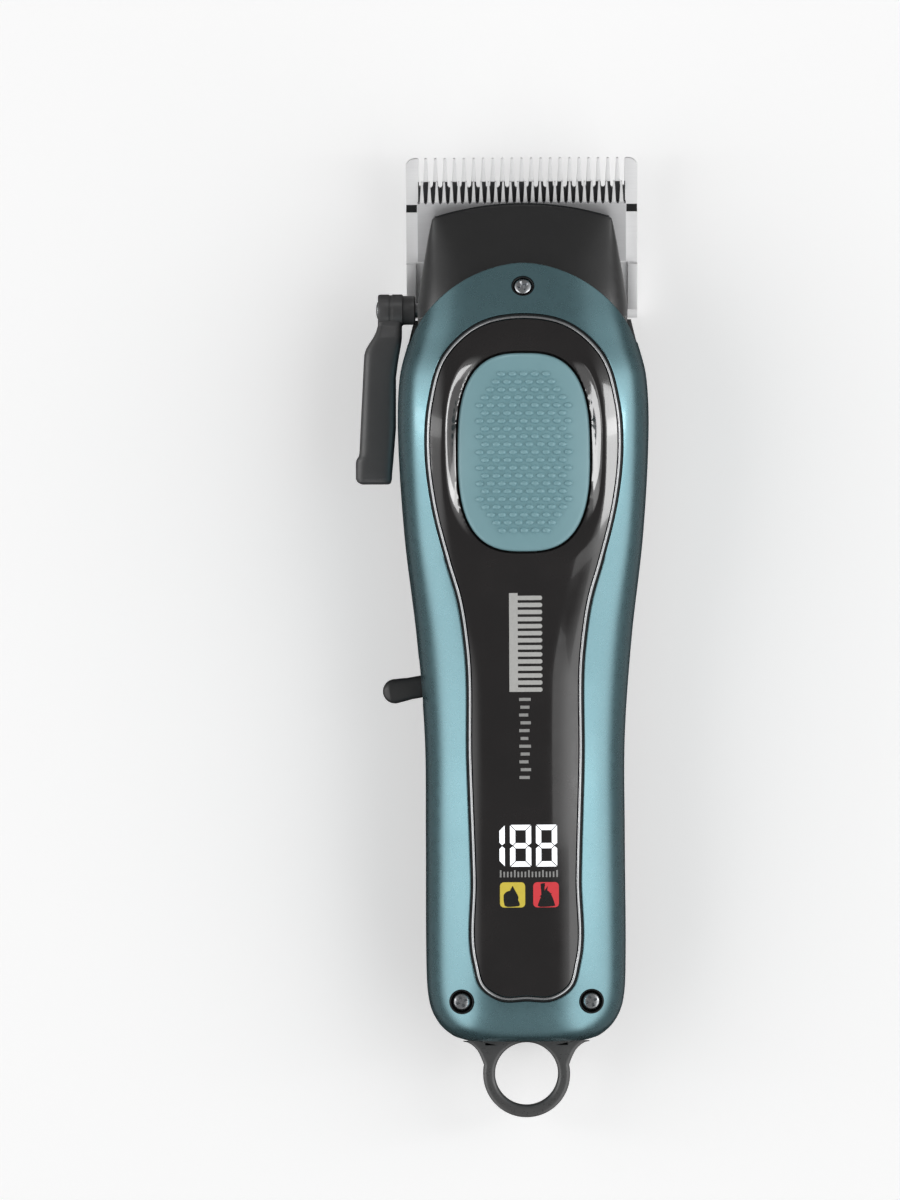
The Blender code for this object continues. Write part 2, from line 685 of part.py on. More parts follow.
def make_blades():
    frame = blade_frame("blade_plane")
    outline = comb_outline(
        BLADE_HALF_WIDTH, 0.0, FIXED_GAP_DEPTH, FIXED_LENGTH, FIXED_TEETH, FIXED_PITCH, 0.55, 1.05, True
    )
    fixed = plate("fixed_blade", [outline], -FIXED_THICKNESS, 0.0, "blade_steel", frame)
    # The underside is ground away towards the tips.
    wedge = [(-11.5, -FIXED_THICKNESS - 0.001), (1.0, -0.35), (1.0, -6.0), (-11.5, -6.0)]
    cut(fixed, side_plate("cut_fixed_grind", [wedge], -30, 30, parent=frame))
    for side, label in ((-1, "left"), (1, "right")):
        # A raised rail guides the blade base behind the cutter's path.
        inner, outer = sorted((side * RAIL_INNER_X, side * BLADE_HALF_WIDTH))
        low, high = (inner, -FIXED_LENGTH + 2.0, -0.5), (outer, -RAIL_FRONT, 0.9)
        join(fixed, box(f"cut_rail_{label}", low, high, parent=frame))
        notch_x = sorted((side * 21.6, side * 24.0))
        notch = box(f"cut_notch_{label}", (notch_x[0], -11.2, -4.0), (notch_x[1], -9.6, 2.0), parent=frame)
        cut(fixed, notch)
        x, back = side * BLADE_SCREW[0], BLADE_SCREW[1]
        seat_z = -FIXED_THICKNESS + 1.45
        cut(
            fixed,
            cylinder(f"cut_blade_hole_{label}", (x, -back, -4), (x, -back, 2), 1.75, None, frame),
            cylinder(f"cut_blade_seat_{label}", (x, -back, -4), (x, -back, seat_z), 3.0, None, frame),
        )
        seat = (x, -back, -FIXED_THICKNESS + 1.3)
        screw(f"blade_screw_{label}", seat, (0, 0, -1), 2.6, 1.3, 7.0, parent=frame)

    lengths = (CUTTER_TIP, CUTTER_ROOT, CUTTER_END)
    outline = comb_outline(
        CUTTER_HALF_WIDTH, *lengths, CUTTER_TEETH, CUTTER_PITCH, 0.35, 0.85, False
    )
    moving = plate("moving_blade", [outline], 0.05, CUTTER_THICKNESS, "blade_steel", frame)
    slope = [(-CUTTER_ROOT - 1.5, CUTTER_THICKNESS + 0.001), (-CUTTER_TIP + 1.0, 0.5)]
    slope += [(0.0, 4.0), (-CUTTER_ROOT - 1.5, 4.0)]
    cut(moving, side_plate("cut_cutter_grind", [slope], -30, 30, parent=frame))
    for side, label in ((-1, "left"), (1, "right")):
        x, back = side * YOKE_PEG[0], YOKE_PEG[1]
        cut(moving, cylinder(f"cut_cutter_hole_{label}", (x, -back, -1), (x, -back, 3), 1.5, None, frame))
    set_origin(moving, (0, -YOKE_PEG[1], 0))
    make_blade_base(frame)
    make_taper(frame)


def make_blade_base(frame):
    half = 19.6
    base = box("blade_base", (-half, -33.2, 0.3), (half, -24.0, 1.8), "black_satin", frame)
    parts = []
    for side, label in ((-1, "left"), (1, "right")):
        x, back = side * BLADE_SCREW[0], BLADE_SCREW[1]
        boss = cylinder(f"cut_base_boss_{label}", (x, -back, 1.0), (x, -back, 5.2), 2.6, None, frame)
        parts.append(boss)
    shaft_back, shaft_height = blade_place(TAPER_AXIS.y, TAPER_AXIS.z)
    lug = [(-shaft_back - 3.0, 1.0), (-shaft_back - 3.0, shaft_height)]
    lug += arc((-shaft_back, shaft_height), 3.0, 180, 0, 9)
    lug += [(-shaft_back + 3.0, 1.0)]
    parts.append(side_plate("cut_base_lug", [lug], -17.2, -14.6, parent=frame))
    # The tongue that the housing holds lies flat in the part's own frame.
    parts.append(box("cut_base_tongue", (-12.0, 52.0, 3.6), (12.0, 64.6, 5.2)))
    join(base, *parts)
    for side, label in ((-1, "left"), (1, "right")):
        x, back = side * BLADE_SCREW[0], BLADE_SCREW[1]
        cut(
            base,
            cylinder(f"cut_base_bore_{label}", (x, -back, -3), (x, -back, 7), 1.6, parent=frame, sides=12),
        )
    cut(
        base,
        across("cut_base_shaft_bore", -20, -12, 1.8),
    )


def across(name, start_x, end_x, radius, look=None, sides=24):
    """A cylinder along X on the taper lever's axis."""
    start = TAPER_AXIS + Vector((start_x, 0, 0))
    return cylinder(name, start, TAPER_AXIS + Vector((end_x, 0, 0)), radius, look, sides=sides)


def make_taper(frame):
    shaft_back, shaft_height = blade_place(TAPER_AXIS.y, TAPER_AXIS.z)
    half_swing = TAPER_SWING / 2
    pin_back = shaft_back + CRANK_RADIUS * math.sin(half_swing)
    pin_height = shaft_height + CRANK_RADIUS * math.cos(half_swing)

    shaft = across("taper_shaft", -26.9, -9.8, 1.45, "spring_steel", sides=16)
    set_origin(shaft, TAPER_AXIS + Vector((-20, 0, 0)))

    crank = across("taper_crank", -13.6, -9.4, 4.7, "white_plastic")
    waist = across("cut_crank_waist", -14.4, -11.4, 9.0)
    cut(waist, across("cut_crank_hub", -15, -10, 3.0))
    pin_start, pin_end = along_blade(pin_back, pin_height, -10.5), along_blade(pin_back, pin_height, -6.2)
    crank_pin = cylinder("cut_crank_pin", pin_start, pin_end, 1.0, sides=12)
    cut(crank, waist)
    join(crank, crank_pin)
    cut(crank, across("cut_crank_bore", -16, -9.6, 1.7, sides=16))
    set_origin(crank, TAPER_AXIS + Vector((-11, 0, 0)))

    # The slide: a floor over the cutter, and an ear whose slot takes the crank's pin.
    slide = box("taper_slide", (-7.4, -32.4, 2.2), (7.4, -12.5, 3.4), "white_plastic", frame)
    ear = [(-31.0, 2.5), (-31.0, pin_height + 2.2), (-pin_back - 2.4, pin_height + 2.6)]
    ear += [(-pin_back + 2.4, pin_height + 2.6), (-26.4, pin_height + 1.0), (-25.4, 2.5)]
    join(slide, side_plate("cut_slide_ear", [ear], -8.6, -6.8, parent=frame))
    slot = box(
        "cut_ear_slot",
        (-9.5, -pin_back - 1.2, pin_height - 1.3),
        (-6.0, -pin_back + 1.2, pin_height + 1.6),
        parent=frame,
    )
    window = box("cut_slide_window", (-7.0, -19.4, 1.0), (7.0, -14.6, 5.0), parent=frame)
    peg_slot = box("cut_slide_peg_slot", (-3.2, -29.8, 1.0), (3.2, -27.2, 5.0), parent=frame)
    cut(slide, slot, window, peg_slot)
    set_origin(slide, (0, -22, 2.2))

    # The yoke: two pegs in the cutter, an arm over the slide, and a fork round the eccentric pin.
    fork_back, motor_height = blade_place(58.9, MOTOR_Z)
    half_room = STROKE + STROKE + PIN_RADIUS + 0.25
    fork_top = motor_height + 4.4
    arm = [(-13.2, 3.7), (-13.2, 5.6), (-18.0, 6.2), (-fork_back + 1.4, 6.4), (-fork_back + 1.4, fork_top)]
    arm += [(-fork_back - 1.2, fork_top), (-fork_back - 1.2, 5.2), (-fork_back + 1.4, 3.7)]
    yoke = side_plate("cutter_yoke", [arm], -half_room - 1.5, half_room + 1.5, "white_plastic", frame)
    fork_floor = motor_height - STROKE - PIN_RADIUS - 0.9
    fork_gap = box(
        "cut_fork_gap",
        (-half_room, -fork_back - 4, fork_floor),
        (half_room, -fork_back + 4, motor_height + 12),
        parent=frame,
    )
    waist_boxes = []
    for side, label in ((-1, "left"), (1, "right")):
        x0, x1 = sorted((side * 3.4, side * 12.0))
        low, high = (x0, -fork_back + 1.4, 2.0), (x1, -20.0, 9.0)
        waist_boxes.append(box(f"cut_yoke_waist_{label}", low, high, parent=frame))
        x, back = side * YOKE_PEG[0], YOKE_PEG[1]
        join(yoke, cylinder(f"cut_yoke_peg_{label}", (x, -back, 0.4), (x, -back, 5.0), 1.2, None, frame))
    cut(yoke, fork_gap, *waist_boxes)
    join(yoke, cylinder("cut_yoke_guide_peg", (0, -28.5, 2.4), (0, -28.5, 5.0), 0.95, None, frame))
    set_origin(yoke, (0, -YOKE_PEG[1], 3.7))

    wire = [(-5.4, -31.4, 4.1), (-5.4, -27.0, 5.6), (-5.4, -20.0, 7.0), (-5.2, -16.6, 7.0)]
    wire += [(-4.0, -15.0, 6.7)]
    wire += [(-2.0, -14.4, 6.6), (2.0, -14.4, 6.6)]
    wire += [(-x, y, z) for x, y, z in reversed(wire[:5])]
    tube("cutter_spring", wire, 0.4, "spring_steel", frame, resolution=1)
    make_taper_lever()


def make_taper_lever():
    plan = [(-24.1, 68.7), (-28.9, 68.7), (-28.9, 62.6), (-31.6, 57.6), (-32.8, 36.4)]
    plan += [(-33.5, 35.4), (-33.5, 31.6), (-32.7, 30.7), (-26.7, 30.7), (-26.3, 31.6)]
    plan += [(-25.9, 36.0), (-25.4, 42.0), (-25.35, 52.0), (-24.6, 57.0), (-24.1, 60.2)]
    lever = plate("taper_lever", [plan], 5.0, 25.0, "black_satin")
    pivot = (TAPER_AXIS.y, TAPER_AXIS.z)
    outline = arc(pivot, 3.2, 0, 180, 13)
    upper_side = ((58.0, 3.9), (34.0, 4.6), (31.6, 3.8), (30.7, 2.2))
    outline += [(y, pivot[1] + rise) for y, rise in upper_side]
    outline += [(y, pivot[1] - rise) for y, rise in reversed(upper_side)]
    # The arc starts and ends on the level of the axis, so the neck narrows from the arm to the boss.
    side_view = [(y, z) for y, z in outline if z >= pivot[1] - 0.001 or y < 59]
    side_view += arc(pivot, 3.2, 270, 345, 6)
    keep(lever, side_plate("cut_lever_side", [side_view], -40, -20))
    join(lever, across("cut_lever_boss", -26, -21.4, 2.9))
    cut(
        lever,
        across("cut_lever_bore", -27.1, -18, 1.7, sides=16),
        across("cut_lever_seat", -40, -27.8, 2.1, sides=16),
        across("cut_lever_neck", -40, -26, 1.0, sides=12),
    )
    set_origin(lever, TAPER_AXIS + Vector((-25, 0, 0)))
    cut(bpy.data.objects["taper_shaft"], across("cut_shaft_thread", -40, -22.5, 0.95, sides=12))
    screw("taper_lever_screw", TAPER_AXIS + Vector((-27.95, 0, 0)), (-1, 0, 0), 1.8, 0.7, 4.6)


# ---------------------------------------------------------------- motor


def make_motor():
    front, back = MOTOR_FRONT_Y, MOTOR_BACK_Y + 3.0
    centre = (0, 0, MOTOR_Z)
    along = (0, 1, 0)
    radius = MOTOR_RADIUS
    can = (
        (1.7, front + 1.8), (4.0, front + 1.8), (4.0, front), (radius, front), (radius, back),
        (radius - 1.2, back), (radius - 1.2, front - 1.4), (1.7, front - 1.4), (1.7, front + 1.8),
    )
    turned("motor_can", can, centre, along, "zinc", steps=24)

    def along_motor(name, start_y, end_y, bar_radius, look=None, sides=16):
        return cylinder(name, (0, start_y, MOTOR_Z), (0, end_y, MOTOR_Z), bar_radius, look, sides=sides)

    end_cap = along_motor("motor_end_cap", MOTOR_BACK_Y, back - GAP, radius, "white_plastic", 24)
    cut(end_cap, along_motor("cut_cap_bearing", back - 1.8, back + 1, 1.7, sides=12))
    shaft = along_motor("motor_shaft", back - 1.5, 54.5, 1.15, "spring_steel")
    set_origin(shaft, (0, 30, MOTOR_Z))
    core = ((1.4, 40.0), (7.6, 40.0), (7.6, 21.0), (3.4, 21.0), (3.4, 17.0), (1.4, 17.0), (1.4, 40.0))
    turned("motor_armature", core, centre, along, "brass", steps=20)

    cam = along_motor("eccentric_cam", 51.6, 55.6, 3.3, "white_plastic", 20)
    pin_start, pin_end = (STROKE, 55.0, MOTOR_Z), (STROKE, 62.6, MOTOR_Z)
    join(cam, cylinder("cut_cam_pin", pin_start, pin_end, PIN_RADIUS, sides=16))
    cut(cam, along_motor("cut_cam_bore", 50.0, 54.8, 1.35))
    set_origin(cam, (0, 53, MOTOR_Z))

    bracket = box("motor_bracket", (-13.0, 48.1, 3.3), (13.0, 50.0, 25.4), "black_satin")
    for side, label in ((-1, "left"), (1, "right")):
        foot_inner, wing_inner, outer = side * 9.6, side * 11.6, side * 13.6
        foot_x, wing_x = sorted((foot_inner, outer)), sorted((wing_inner, outer))
        foot = box(f"cut_bracket_foot_{label}", (foot_x[0], 37.0, 3.4), (foot_x[1], 49.0, 5.0))
        wing = box(f"cut_bracket_wing_{label}", (wing_x[0], 42.6, 3.6), (wing_x[1], 49.0, 20.0))
        join(bracket, foot, wing)
        x, y = side * BRACKET_SCREW[0], BRACKET_SCREW[1]
        cut(bracket, cylinder(f"cut_bracket_hole_{label}", (x, y, 0), (x, y, 6), 1.0, sides=12))
        pilot = cylinder(f"cut_bracket_pilot_{label}", (x, y, 0.9), (x, y, 6), 1.0, sides=12)
        cut(bpy.data.objects["rear_housing"], pilot)
        screw(f"bracket_screw_{label}", (x, y, 5.3), (0, 0, 1), 1.5, 0.7, 4.0)
    cut(bracket, cylinder("cut_bracket_bore", (0, 45, MOTOR_Z), (0, 52, MOTOR_Z), 4.4))


# ---------------------------------------------------------------- power and boards


def make_power():
    back, front = BATTERY_ENDS_Y
    z = BATTERY_Z
    radius = BATTERY_RADIUS
    cell = (
        (0.0, front), (3.0, front), (3.0, front - 1.4), (radius - 0.6, front - 1.4), (radius, front - 2.2),
        (radius, back + 0.6), (radius - 0.6, back), (0.0, back),
    )
    turned("battery_cell", cell, (0, 0, z), (0, 1, 0), "battery_wrap", steps=24)
    holder = box("battery_holder", (-10.2, back - 2.4, 3.1), (10.2, front + 2.6, 9.5), "black_satin")
    cut(
        holder,
        cylinder("cut_holder_bed", (0, back - 0.9, z), (0, front + 1.1, z), radius + 0.35, sides=28),
    )
    box("battery_tab_front", (-2.5, front + 0.3, z - 2.4), (2.5, front + 0.8, 19.0), "zinc")
    box("battery_tab_rear", (-2.5, back - 0.75, z - 2.4), (2.5, back - 0.3, 19.0), "zinc")

    board = [(-12.0, -68.0), (12.0, -68.0), (12.0, -2.4), (-12.0, -2.4)]
    plate("main_board", [board], *BOARD_Z, "board_green")
    box("display_module", (-8.0, -56.0, 24.7), (8.0, -34.0, 27.4), "black_gloss")

    port = box("charge_port", (-4.45, -80.2, 7.0), (4.45, -73.2, 10.2), "zinc")
    round_edges(port, 1.3)
    mouth = box("cut_port_mouth", (-3.9, -81.0, 7.5), (3.9, -75.0, 9.7))
    tongue = box("cut_port_tongue", (-3.1, -79.6, 8.3), (3.1, -74.0, 8.9))
    cut(port, mouth)
    join(port, tongue)
    board = [(-6.5, -77.6), (6.5, -77.6), (6.5, -69.2), (-6.5, -69.2)]
    plate("charge_board", [board], 5.5, 6.6, "board_green")

    front_lead = ((4.0, 0.5, 17.5), (4.2, 0.6, 20.0), (4.4, 0.3, 22.6), (4.5, -1.2, 24.2))
    rear_lead = ((-4.0, -67.2, 17.5), (-4.2, -69.0, 19.6), (-4.4, -69.6, 22.0), (-4.5, -69.0, 24.6))
    motor_lead = ((6.0, 11.0, 17.0), (6.2, 8.6, 18.4), (6.6, 6.4, 21.0), (7.0, 3.4, 23.8))
    motor_lead += ((7.0, -0.4, 25.2), (7.0, -5.0, 25.4))
    tube("battery_lead_red", front_lead, LEAD_RADIUS, "wire_red")
    tube("battery_lead_black", rear_lead, LEAD_RADIUS, "wire_black")
    tube("motor_lead_red", motor_lead, LEAD_RADIUS, "wire_red")
    tube("motor_lead_black", [(-x, y, z) for x, y, z in motor_lead], LEAD_RADIUS, "wire_black")


def make_toggle():
    axis = TOGGLE_AXIS
    out = Vector((-math.cos(TOGGLE_TILT), -math.sin(TOGGLE_TILT)))
    side = Vector((-out.y, out.x))
    centre = Vector((axis.x, axis.y))
    half = 2.45
    tip = centre + out * (TOGGLE_REACH - half)
    heading = math.degrees(math.atan2(out.y, out.x))
    bar = [centre - side * half, *arc(tip, half, heading - 90, heading + 90, 9), centre + side * half]
    toggle = plate("power_toggle", [[tuple(point) for point in bar]], 13.9, 18.1, "black_satin")
    round_edges(toggle, 0.9, angle=50)
    join(toggle, cylinder("cut_toggle_boss", (axis.x, axis.y, 12.2), (axis.x, axis.y, 21.1), 2.6, sides=20))
    end = centre - out * (SLIDER_REACH + 1.3)
    arm = [centre + side * 1.5, centre - side * 1.5, end - side * 1.5, end + side * 1.5]
    join(toggle, plate("cut_toggle_arm", [[tuple(point) for point in arm]], 19.4, 21.1))
    peg = centre - out * SLIDER_REACH
    near, far, half_gap = peg + out, peg - out * 3, side * 0.8
    notch = [near + half_gap, near - half_gap, far - half_gap, far + half_gap]
    cut(
        toggle,
        plate("cut_toggle_notch", [[tuple(point) for point in notch]], 18.6, 22),
        cylinder("cut_toggle_bore", (axis.x, axis.y, 11), (axis.x, axis.y, 23), 1.3, sides=12),
    )
    set_origin(toggle, axis)
    cylinder("toggle_pin", (axis.x, axis.y, 5.3), (axis.x, axis.y, 21.4), 1.0, "spring_steel", sides=12)

    body = box("slide_switch", (peg.x - 2.6, -12.6, 21.5), (peg.x + 2.6, -4.4, 22.9), "zinc")
    cut(body, box("cut_switch_track", (peg.x - 1.1, -11.6, 20.0), (peg.x + 1.1, -5.4, 22.6)))
    low, high = (peg.x - 0.85, peg.y - 1.3, 21.4), (peg.x + 0.85, peg.y + 1.3, 22.3)
    slider = box("switch_slider", low, high, "white_plastic")
    join(slider, cylinder("cut_slider_peg", (peg.x, peg.y, 19.6), (peg.x, peg.y, 21.9), 0.6, sides=12))
    set_origin(slider, (peg.x, peg.y, 21.4))


def make_loop():
    inner, outer = LOOP_RADII
    flare_top = -80.8
    flare = [(12.6, flare_top), (11.0, -81.4), (9.8, -82.6), (9.0, -84.2)]
    edge = [(9.0, -76.6), (9.0, flare_top), *flare]
    edge += arc((0, LOOP_CENTRE_Y), outer, 12, -192, 25)
    edge += [(-x, y) for x, y in reversed(flare)]
    edge += [(-9.0, flare_top), (-9.0, -76.6)]
    hole = arc((0, LOOP_CENTRE_Y), inner, 0, 345, 24)
    plate("hanging_loop", [edge, hole], *LOOP_Z, "black_satin")


clear_scene()
MATERIALS = {name: make_material(name) for name in LOOKS}
PARTS = new_collection("hair_clipper")
CUTTERS = new_collection("cutters")
make_casings()
make_panel()
make_button()
make_blades()
make_motor()
make_power()
make_toggle()
make_loop()
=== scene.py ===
"""Looks of the hair clipper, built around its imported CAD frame.

Frame: +Y runs from the hanging loop to the teeth, +Z is the button side, and the taper lever and
the power toggle are on -X. Shapes are worked out in millimetres, and MM turns them into metres.
"""

import json
import math

import bmesh
import bpy
import numpy as np
from mathutils import Matrix, Vector


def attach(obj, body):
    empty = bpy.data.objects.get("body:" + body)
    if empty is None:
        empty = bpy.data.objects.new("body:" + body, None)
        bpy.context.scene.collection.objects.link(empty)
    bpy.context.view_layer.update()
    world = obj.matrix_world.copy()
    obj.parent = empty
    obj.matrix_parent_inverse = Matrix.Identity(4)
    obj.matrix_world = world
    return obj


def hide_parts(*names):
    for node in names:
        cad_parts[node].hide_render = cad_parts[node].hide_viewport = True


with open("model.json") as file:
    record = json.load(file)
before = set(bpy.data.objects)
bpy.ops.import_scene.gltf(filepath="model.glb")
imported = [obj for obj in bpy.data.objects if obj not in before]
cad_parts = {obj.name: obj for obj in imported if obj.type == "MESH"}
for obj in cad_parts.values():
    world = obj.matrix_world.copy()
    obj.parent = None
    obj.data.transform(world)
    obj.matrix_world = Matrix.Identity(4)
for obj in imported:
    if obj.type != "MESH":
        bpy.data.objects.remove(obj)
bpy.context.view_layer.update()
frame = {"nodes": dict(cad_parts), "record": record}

NODES = frame["nodes"]
MM = 0.001

# Casing stations along Y: half the width, the top and the bottom of the section.
STATIONS = (
    (-80.5, 12.0, 25.0, 5.6),
    (-79.6, 14.6, 27.2, 3.6),
    (-77.0, 17.5, 29.3, 1.4),
    (-73.0, 19.3, 30.6, 0.0),
    (-66.0, 19.9, 31.2, -0.8),
    (-40.0, 19.9, 31.4, -0.8),
    (-20.0, 20.0, 31.7, -0.8),
    (0.0, 21.5, 33.2, -0.8),
    (20.0, 23.8, 36.0, -0.8),
    (40.0, 25.0, 37.7, -0.8),
    (52.0, 24.6, 37.0, -0.8),
    (60.0, 22.6, 34.9, -0.6),
    (66.0, 21.3, 32.8, 0.2),
    (76.0, 20.4, 27.6, 2.0),
)
HEAD_STATIONS = (
    (58.0, 20.4, 32.3, -10.0),
    (65.0, 21.0, 30.2, -10.0),
    (70.0, 20.5, 28.2, -10.0),
    (76.0, 19.5, 24.6, -10.0),
    (81.0, 18.6, 20.6, -10.0),
    (84.5, 17.8, 17.6, -10.0),
    (88.0, 17.1, 14.6, -10.0),
)
WIDEST_Z = 16.0
LOWER_POWER = 2.6
WALL = 2.0
COVER_WALL = 1.5
LEDGE_DEPTH = 1.3
SHELL_EDGE_Z, HOUSING_EDGE_Z = 15.15, 14.85
TAIL_Y = -80.5
TAIL_CAP_SPAN, TAIL_CAP_REACH = 12.0, 8.8
HOUSING_END_Y = 63.5
COVER_START_Y = 58.3
COVER_STEP_Y = 63.8
COVER_RISE = 2.1
COVER_BOW_Y, COVER_BOW_RADIUS = 26.0, 60.6
COVER_FRONT_HALF, COVER_CORNER_Y = 17.5, 84.02
ARCH = dict(centre_y=55.0, half_width=23.2, height=19.5, power=1.8, start_y=58.8)

PANEL_EDGE = (
    (0.0, 63.1), (8.4, 61.5), (15.1, 55.5), (17.9, 46.5), (18.5, 36.7), (17.5, 27.5),
    (14.6, 15.5), (12.3, 7.5), (10.9, -2.0), (10.5, -24.5), (9.8, -48.0), (9.6, -64.5),
    (8.2, -69.0), (5.0, -71.1), (0.0, -71.1),
)
PANEL_INSET = 0.1
PANEL_THICKNESS = 1.4
BUTTON_CENTRE_Y = 36.7
BUTTON_HALF = (13.1, 19.65)
BUTTON_POWER = 2.8
DISH_HALF = (13.6, 20.2)
DISH_FLOOR_Z = 35.05
DISH_WALL = (1.0, 1.19)

BLADE_TILT = math.radians(18.0)
TIPS = Vector((0.0, 95.9, 13.4))
BLADE_HALF_WIDTH = 23.2
FIXED_THICKNESS = 2.6
FIXED_LENGTH = 33.4
FIXED_GAP_DEPTH = 6.3
FIXED_TEETH, FIXED_PITCH = 21, 1.92
RAIL_INNER_X, RAIL_FRONT = 21.2, 21.8
RAIL_BACK = FIXED_LENGTH - 2.0
CUTTER_HALF_WIDTH = 20.9
CUTTER_THICKNESS = 1.7
CUTTER_TEETH, CUTTER_PITCH = 28, 1.48
CUTTER_TIP, CUTTER_ROOT, CUTTER_END = 4.6, 8.9, 21.0
YOKE_PEG = (4.2, 17.0)
BLADE_SCREW = (12.0, 28.0)

TAPER_AXIS = Vector((0.0, 65.5, 15.0))
TOGGLE_AXIS = Vector((-14.6, -8.7, 16.0))
TOGGLE_TILT = math.radians(10.0)
TOGGLE_REACH = 13.9
SLIDER_REACH = 4.2
LOOP_CENTRE_Y = -87.3
LOOP_RADII = (6.3, 8.7)
LOOP_Z = (12.4, 17.6)
CASE_SCREW = (12.9, -72.4)
TOP_SCREW_Y = 69.8

# The studio's light: where the walls start and end, and their levels.
DARK_STRIP = 0.175
RIGHT_WALL = (0.28, 0.50, 1.08)
LEFT_WALL = (0.44, 0.62, 1.10)
FRONT_SHARE = 0.22
BACK_GLOW = 0.09
BELOW = 0.10


# ---------------------------------------------------------------- curves and surfaces


def spow(value, exponent):
    return np.copysign(np.abs(value) ** exponent, value)


def smooth_step(value):
    t = np.clip(value, 0.0, 1.0)
    return t * t * (3 - 2 * t)


def soft_ramp(value, end=0.35):
    """From 0 to 1 on a straight line that levels out at its upper end."""
    t = np.clip(value, 0.0, 1.0)
    return (t - np.maximum(t - 1 + end, 0.0) ** 2 / (2 * end)) / (1 - end / 2)


def hermite(t, start, end, pull_in, pull_out):
    """A cubic curve from start to end, with its slopes there."""
    return (
        (2 * t**3 - 3 * t**2 + 1) * start
        + (t**3 - 2 * t**2 + t) * pull_in
        + (3 * t**2 - 2 * t**3) * end
        + (t**3 - t**2) * pull_out
    )


def profile(stations, column, y):
    """A smooth curve through one column of the stations, read at every y."""
    table = np.array(stations, float)
    y = np.clip(np.asarray(y, float), table[0, 0], table[-1, 0])
    index = np.clip(np.searchsorted(table[:, 0], y, side="right") - 1, 0, len(table) - 2)
    start, end = table[index], table[index + 1]
    before, after = table[np.maximum(index - 1, 0)], table[np.minimum(index + 2, len(table) - 1)]
    span = end[..., 0] - start[..., 0]
    slope_in = (end[..., column] - before[..., column]) / (end[..., 0] - before[..., 0]) * span
    slope_out = (after[..., column] - start[..., column]) / (after[..., 0] - start[..., 0]) * span
    t = (y - start[..., 0]) / span
    return hermite(t, start[..., column], end[..., column], slope_in, slope_out)


def upper_power(y):
    """How square the section's upper half is: a soft handle, and a boxier body around the button."""
    return 2.5 + 1.5 * smooth_step((y + 10) / 38) * smooth_step((80 - y) / 30)


def section_point(y, angle, inset=0.0, stations=STATIONS):
    """Points of the section at y, shrunk by the inset; 90 degrees is the middle of the top."""
    half = profile(stations, 1, y) - inset
    top = profile(stations, 2, y) - inset
    bottom = profile(stations, 3, y) + inset
    upper = np.sin(angle) >= 0
    power = np.where(upper, upper_power(y), LOWER_POWER)
    reach = np.where(upper, top - WIDEST_Z, WIDEST_Z - bottom)
    x = half * spow(np.cos(angle), 2 / power)
    z = WIDEST_Z + reach * spow(np.sin(angle), 2 / power)
    return x, z


def casing_grid(y, angle, inset):
    """Points of the casing at (y, angle). Beyond the tail the section shrinks on the flat end."""
    past = np.maximum(TAIL_Y - y, 0.0)
    x, z = section_point(np.maximum(y, TAIL_Y), angle, inset)
    above_flat = z - inset
    z = inset + 0.5 * (above_flat + np.sqrt(above_flat**2 + 0.25**2))
    scale = 1 - past / TAIL_CAP_SPAN
    x = x * scale
    z = SHELL_EDGE_Z + (z - SHELL_EDGE_Z) * scale
    return np.stack([x, np.maximum(y, TAIL_Y + inset), z], -1)


def top_z(x, y, inset=0.0, stations=STATIONS):
    """The height of the upper surface over a point of the plan."""
    half = profile(stations, 1, y) - inset
    top = profile(stations, 2, y) - inset
    power = upper_power(y)
    share = np.clip(1 - (np.abs(x) / half) ** power, 0.0, 1.0)
    return WIDEST_Z + (top - WIDEST_Z) * share ** (1 / power)


def plan_angle(x, y):
    """The section's angle over a point of the plan, for x >= 0."""
    return np.arccos(np.clip(x / profile(STATIONS, 1, y), 0.0, 1.0) ** (upper_power(y) / 2))


def angle_below(y, z, stations=STATIONS):
    """The section's angle where its lower half passes the height z."""
    reach = WIDEST_Z - profile(stations, 3, y)
    return -np.arcsin(np.clip((WIDEST_Z - z) / reach, 0.0, 1.0) ** (LOWER_POWER / 2))


def superellipse(half_x, half_y, power, centre_y=0.0, points=120):
    angle = 2 * math.pi * np.arange(points) / points
    x = half_x * spow(np.cos(angle), 2 / power)
    return np.stack([x, centre_y + half_y * spow(np.sin(angle), 2 / power)], -1)


def superellipse_radius(x, y, half, power):
    return ((np.abs(x) / half[0]) ** power + (np.abs(y) / half[1]) ** power) ** (1 / power)


def arc(centre, radius, start, end, count):
    angle = np.radians(np.linspace(start, end, count))
    return [(centre[0] + radius * math.cos(a), centre[1] + radius * math.sin(a)) for a in angle]


def even_loop(points, count):
    """A closed line's points spaced evenly, from its first one."""
    closed = np.vstack([points, points[:1]])
    along = np.concatenate([[0.0], np.cumsum(np.linalg.norm(np.diff(closed, axis=0), axis=1))])
    wanted = along[-1] * np.arange(count) / count
    return np.stack([np.interp(wanted, along, closed[:, i]) for i in range(2)], -1)


def smooth_loop(points, count):
    """Even points on the smooth closed curve through the given ones."""
    p = np.array(points, float)
    following = np.roll(p, -1, 0)
    step = np.linalg.norm(following - p, axis=1)[:, None]
    slope = (following - p) / step
    before = np.roll(step, 1, 0)
    tangent = (slope * before + np.roll(slope, 1, 0) * step) / (before + step)
    t = np.linspace(0, 1, 40, endpoint=False)[None, :, None]
    pull_in, pull_out = (tangent * step)[:, None], (np.roll(tangent, -1, 0) * step)[:, None]
    fine = hermite(t, p[:, None], following[:, None], pull_in, pull_out)
    return even_loop(fine.reshape(-1, 2), count)


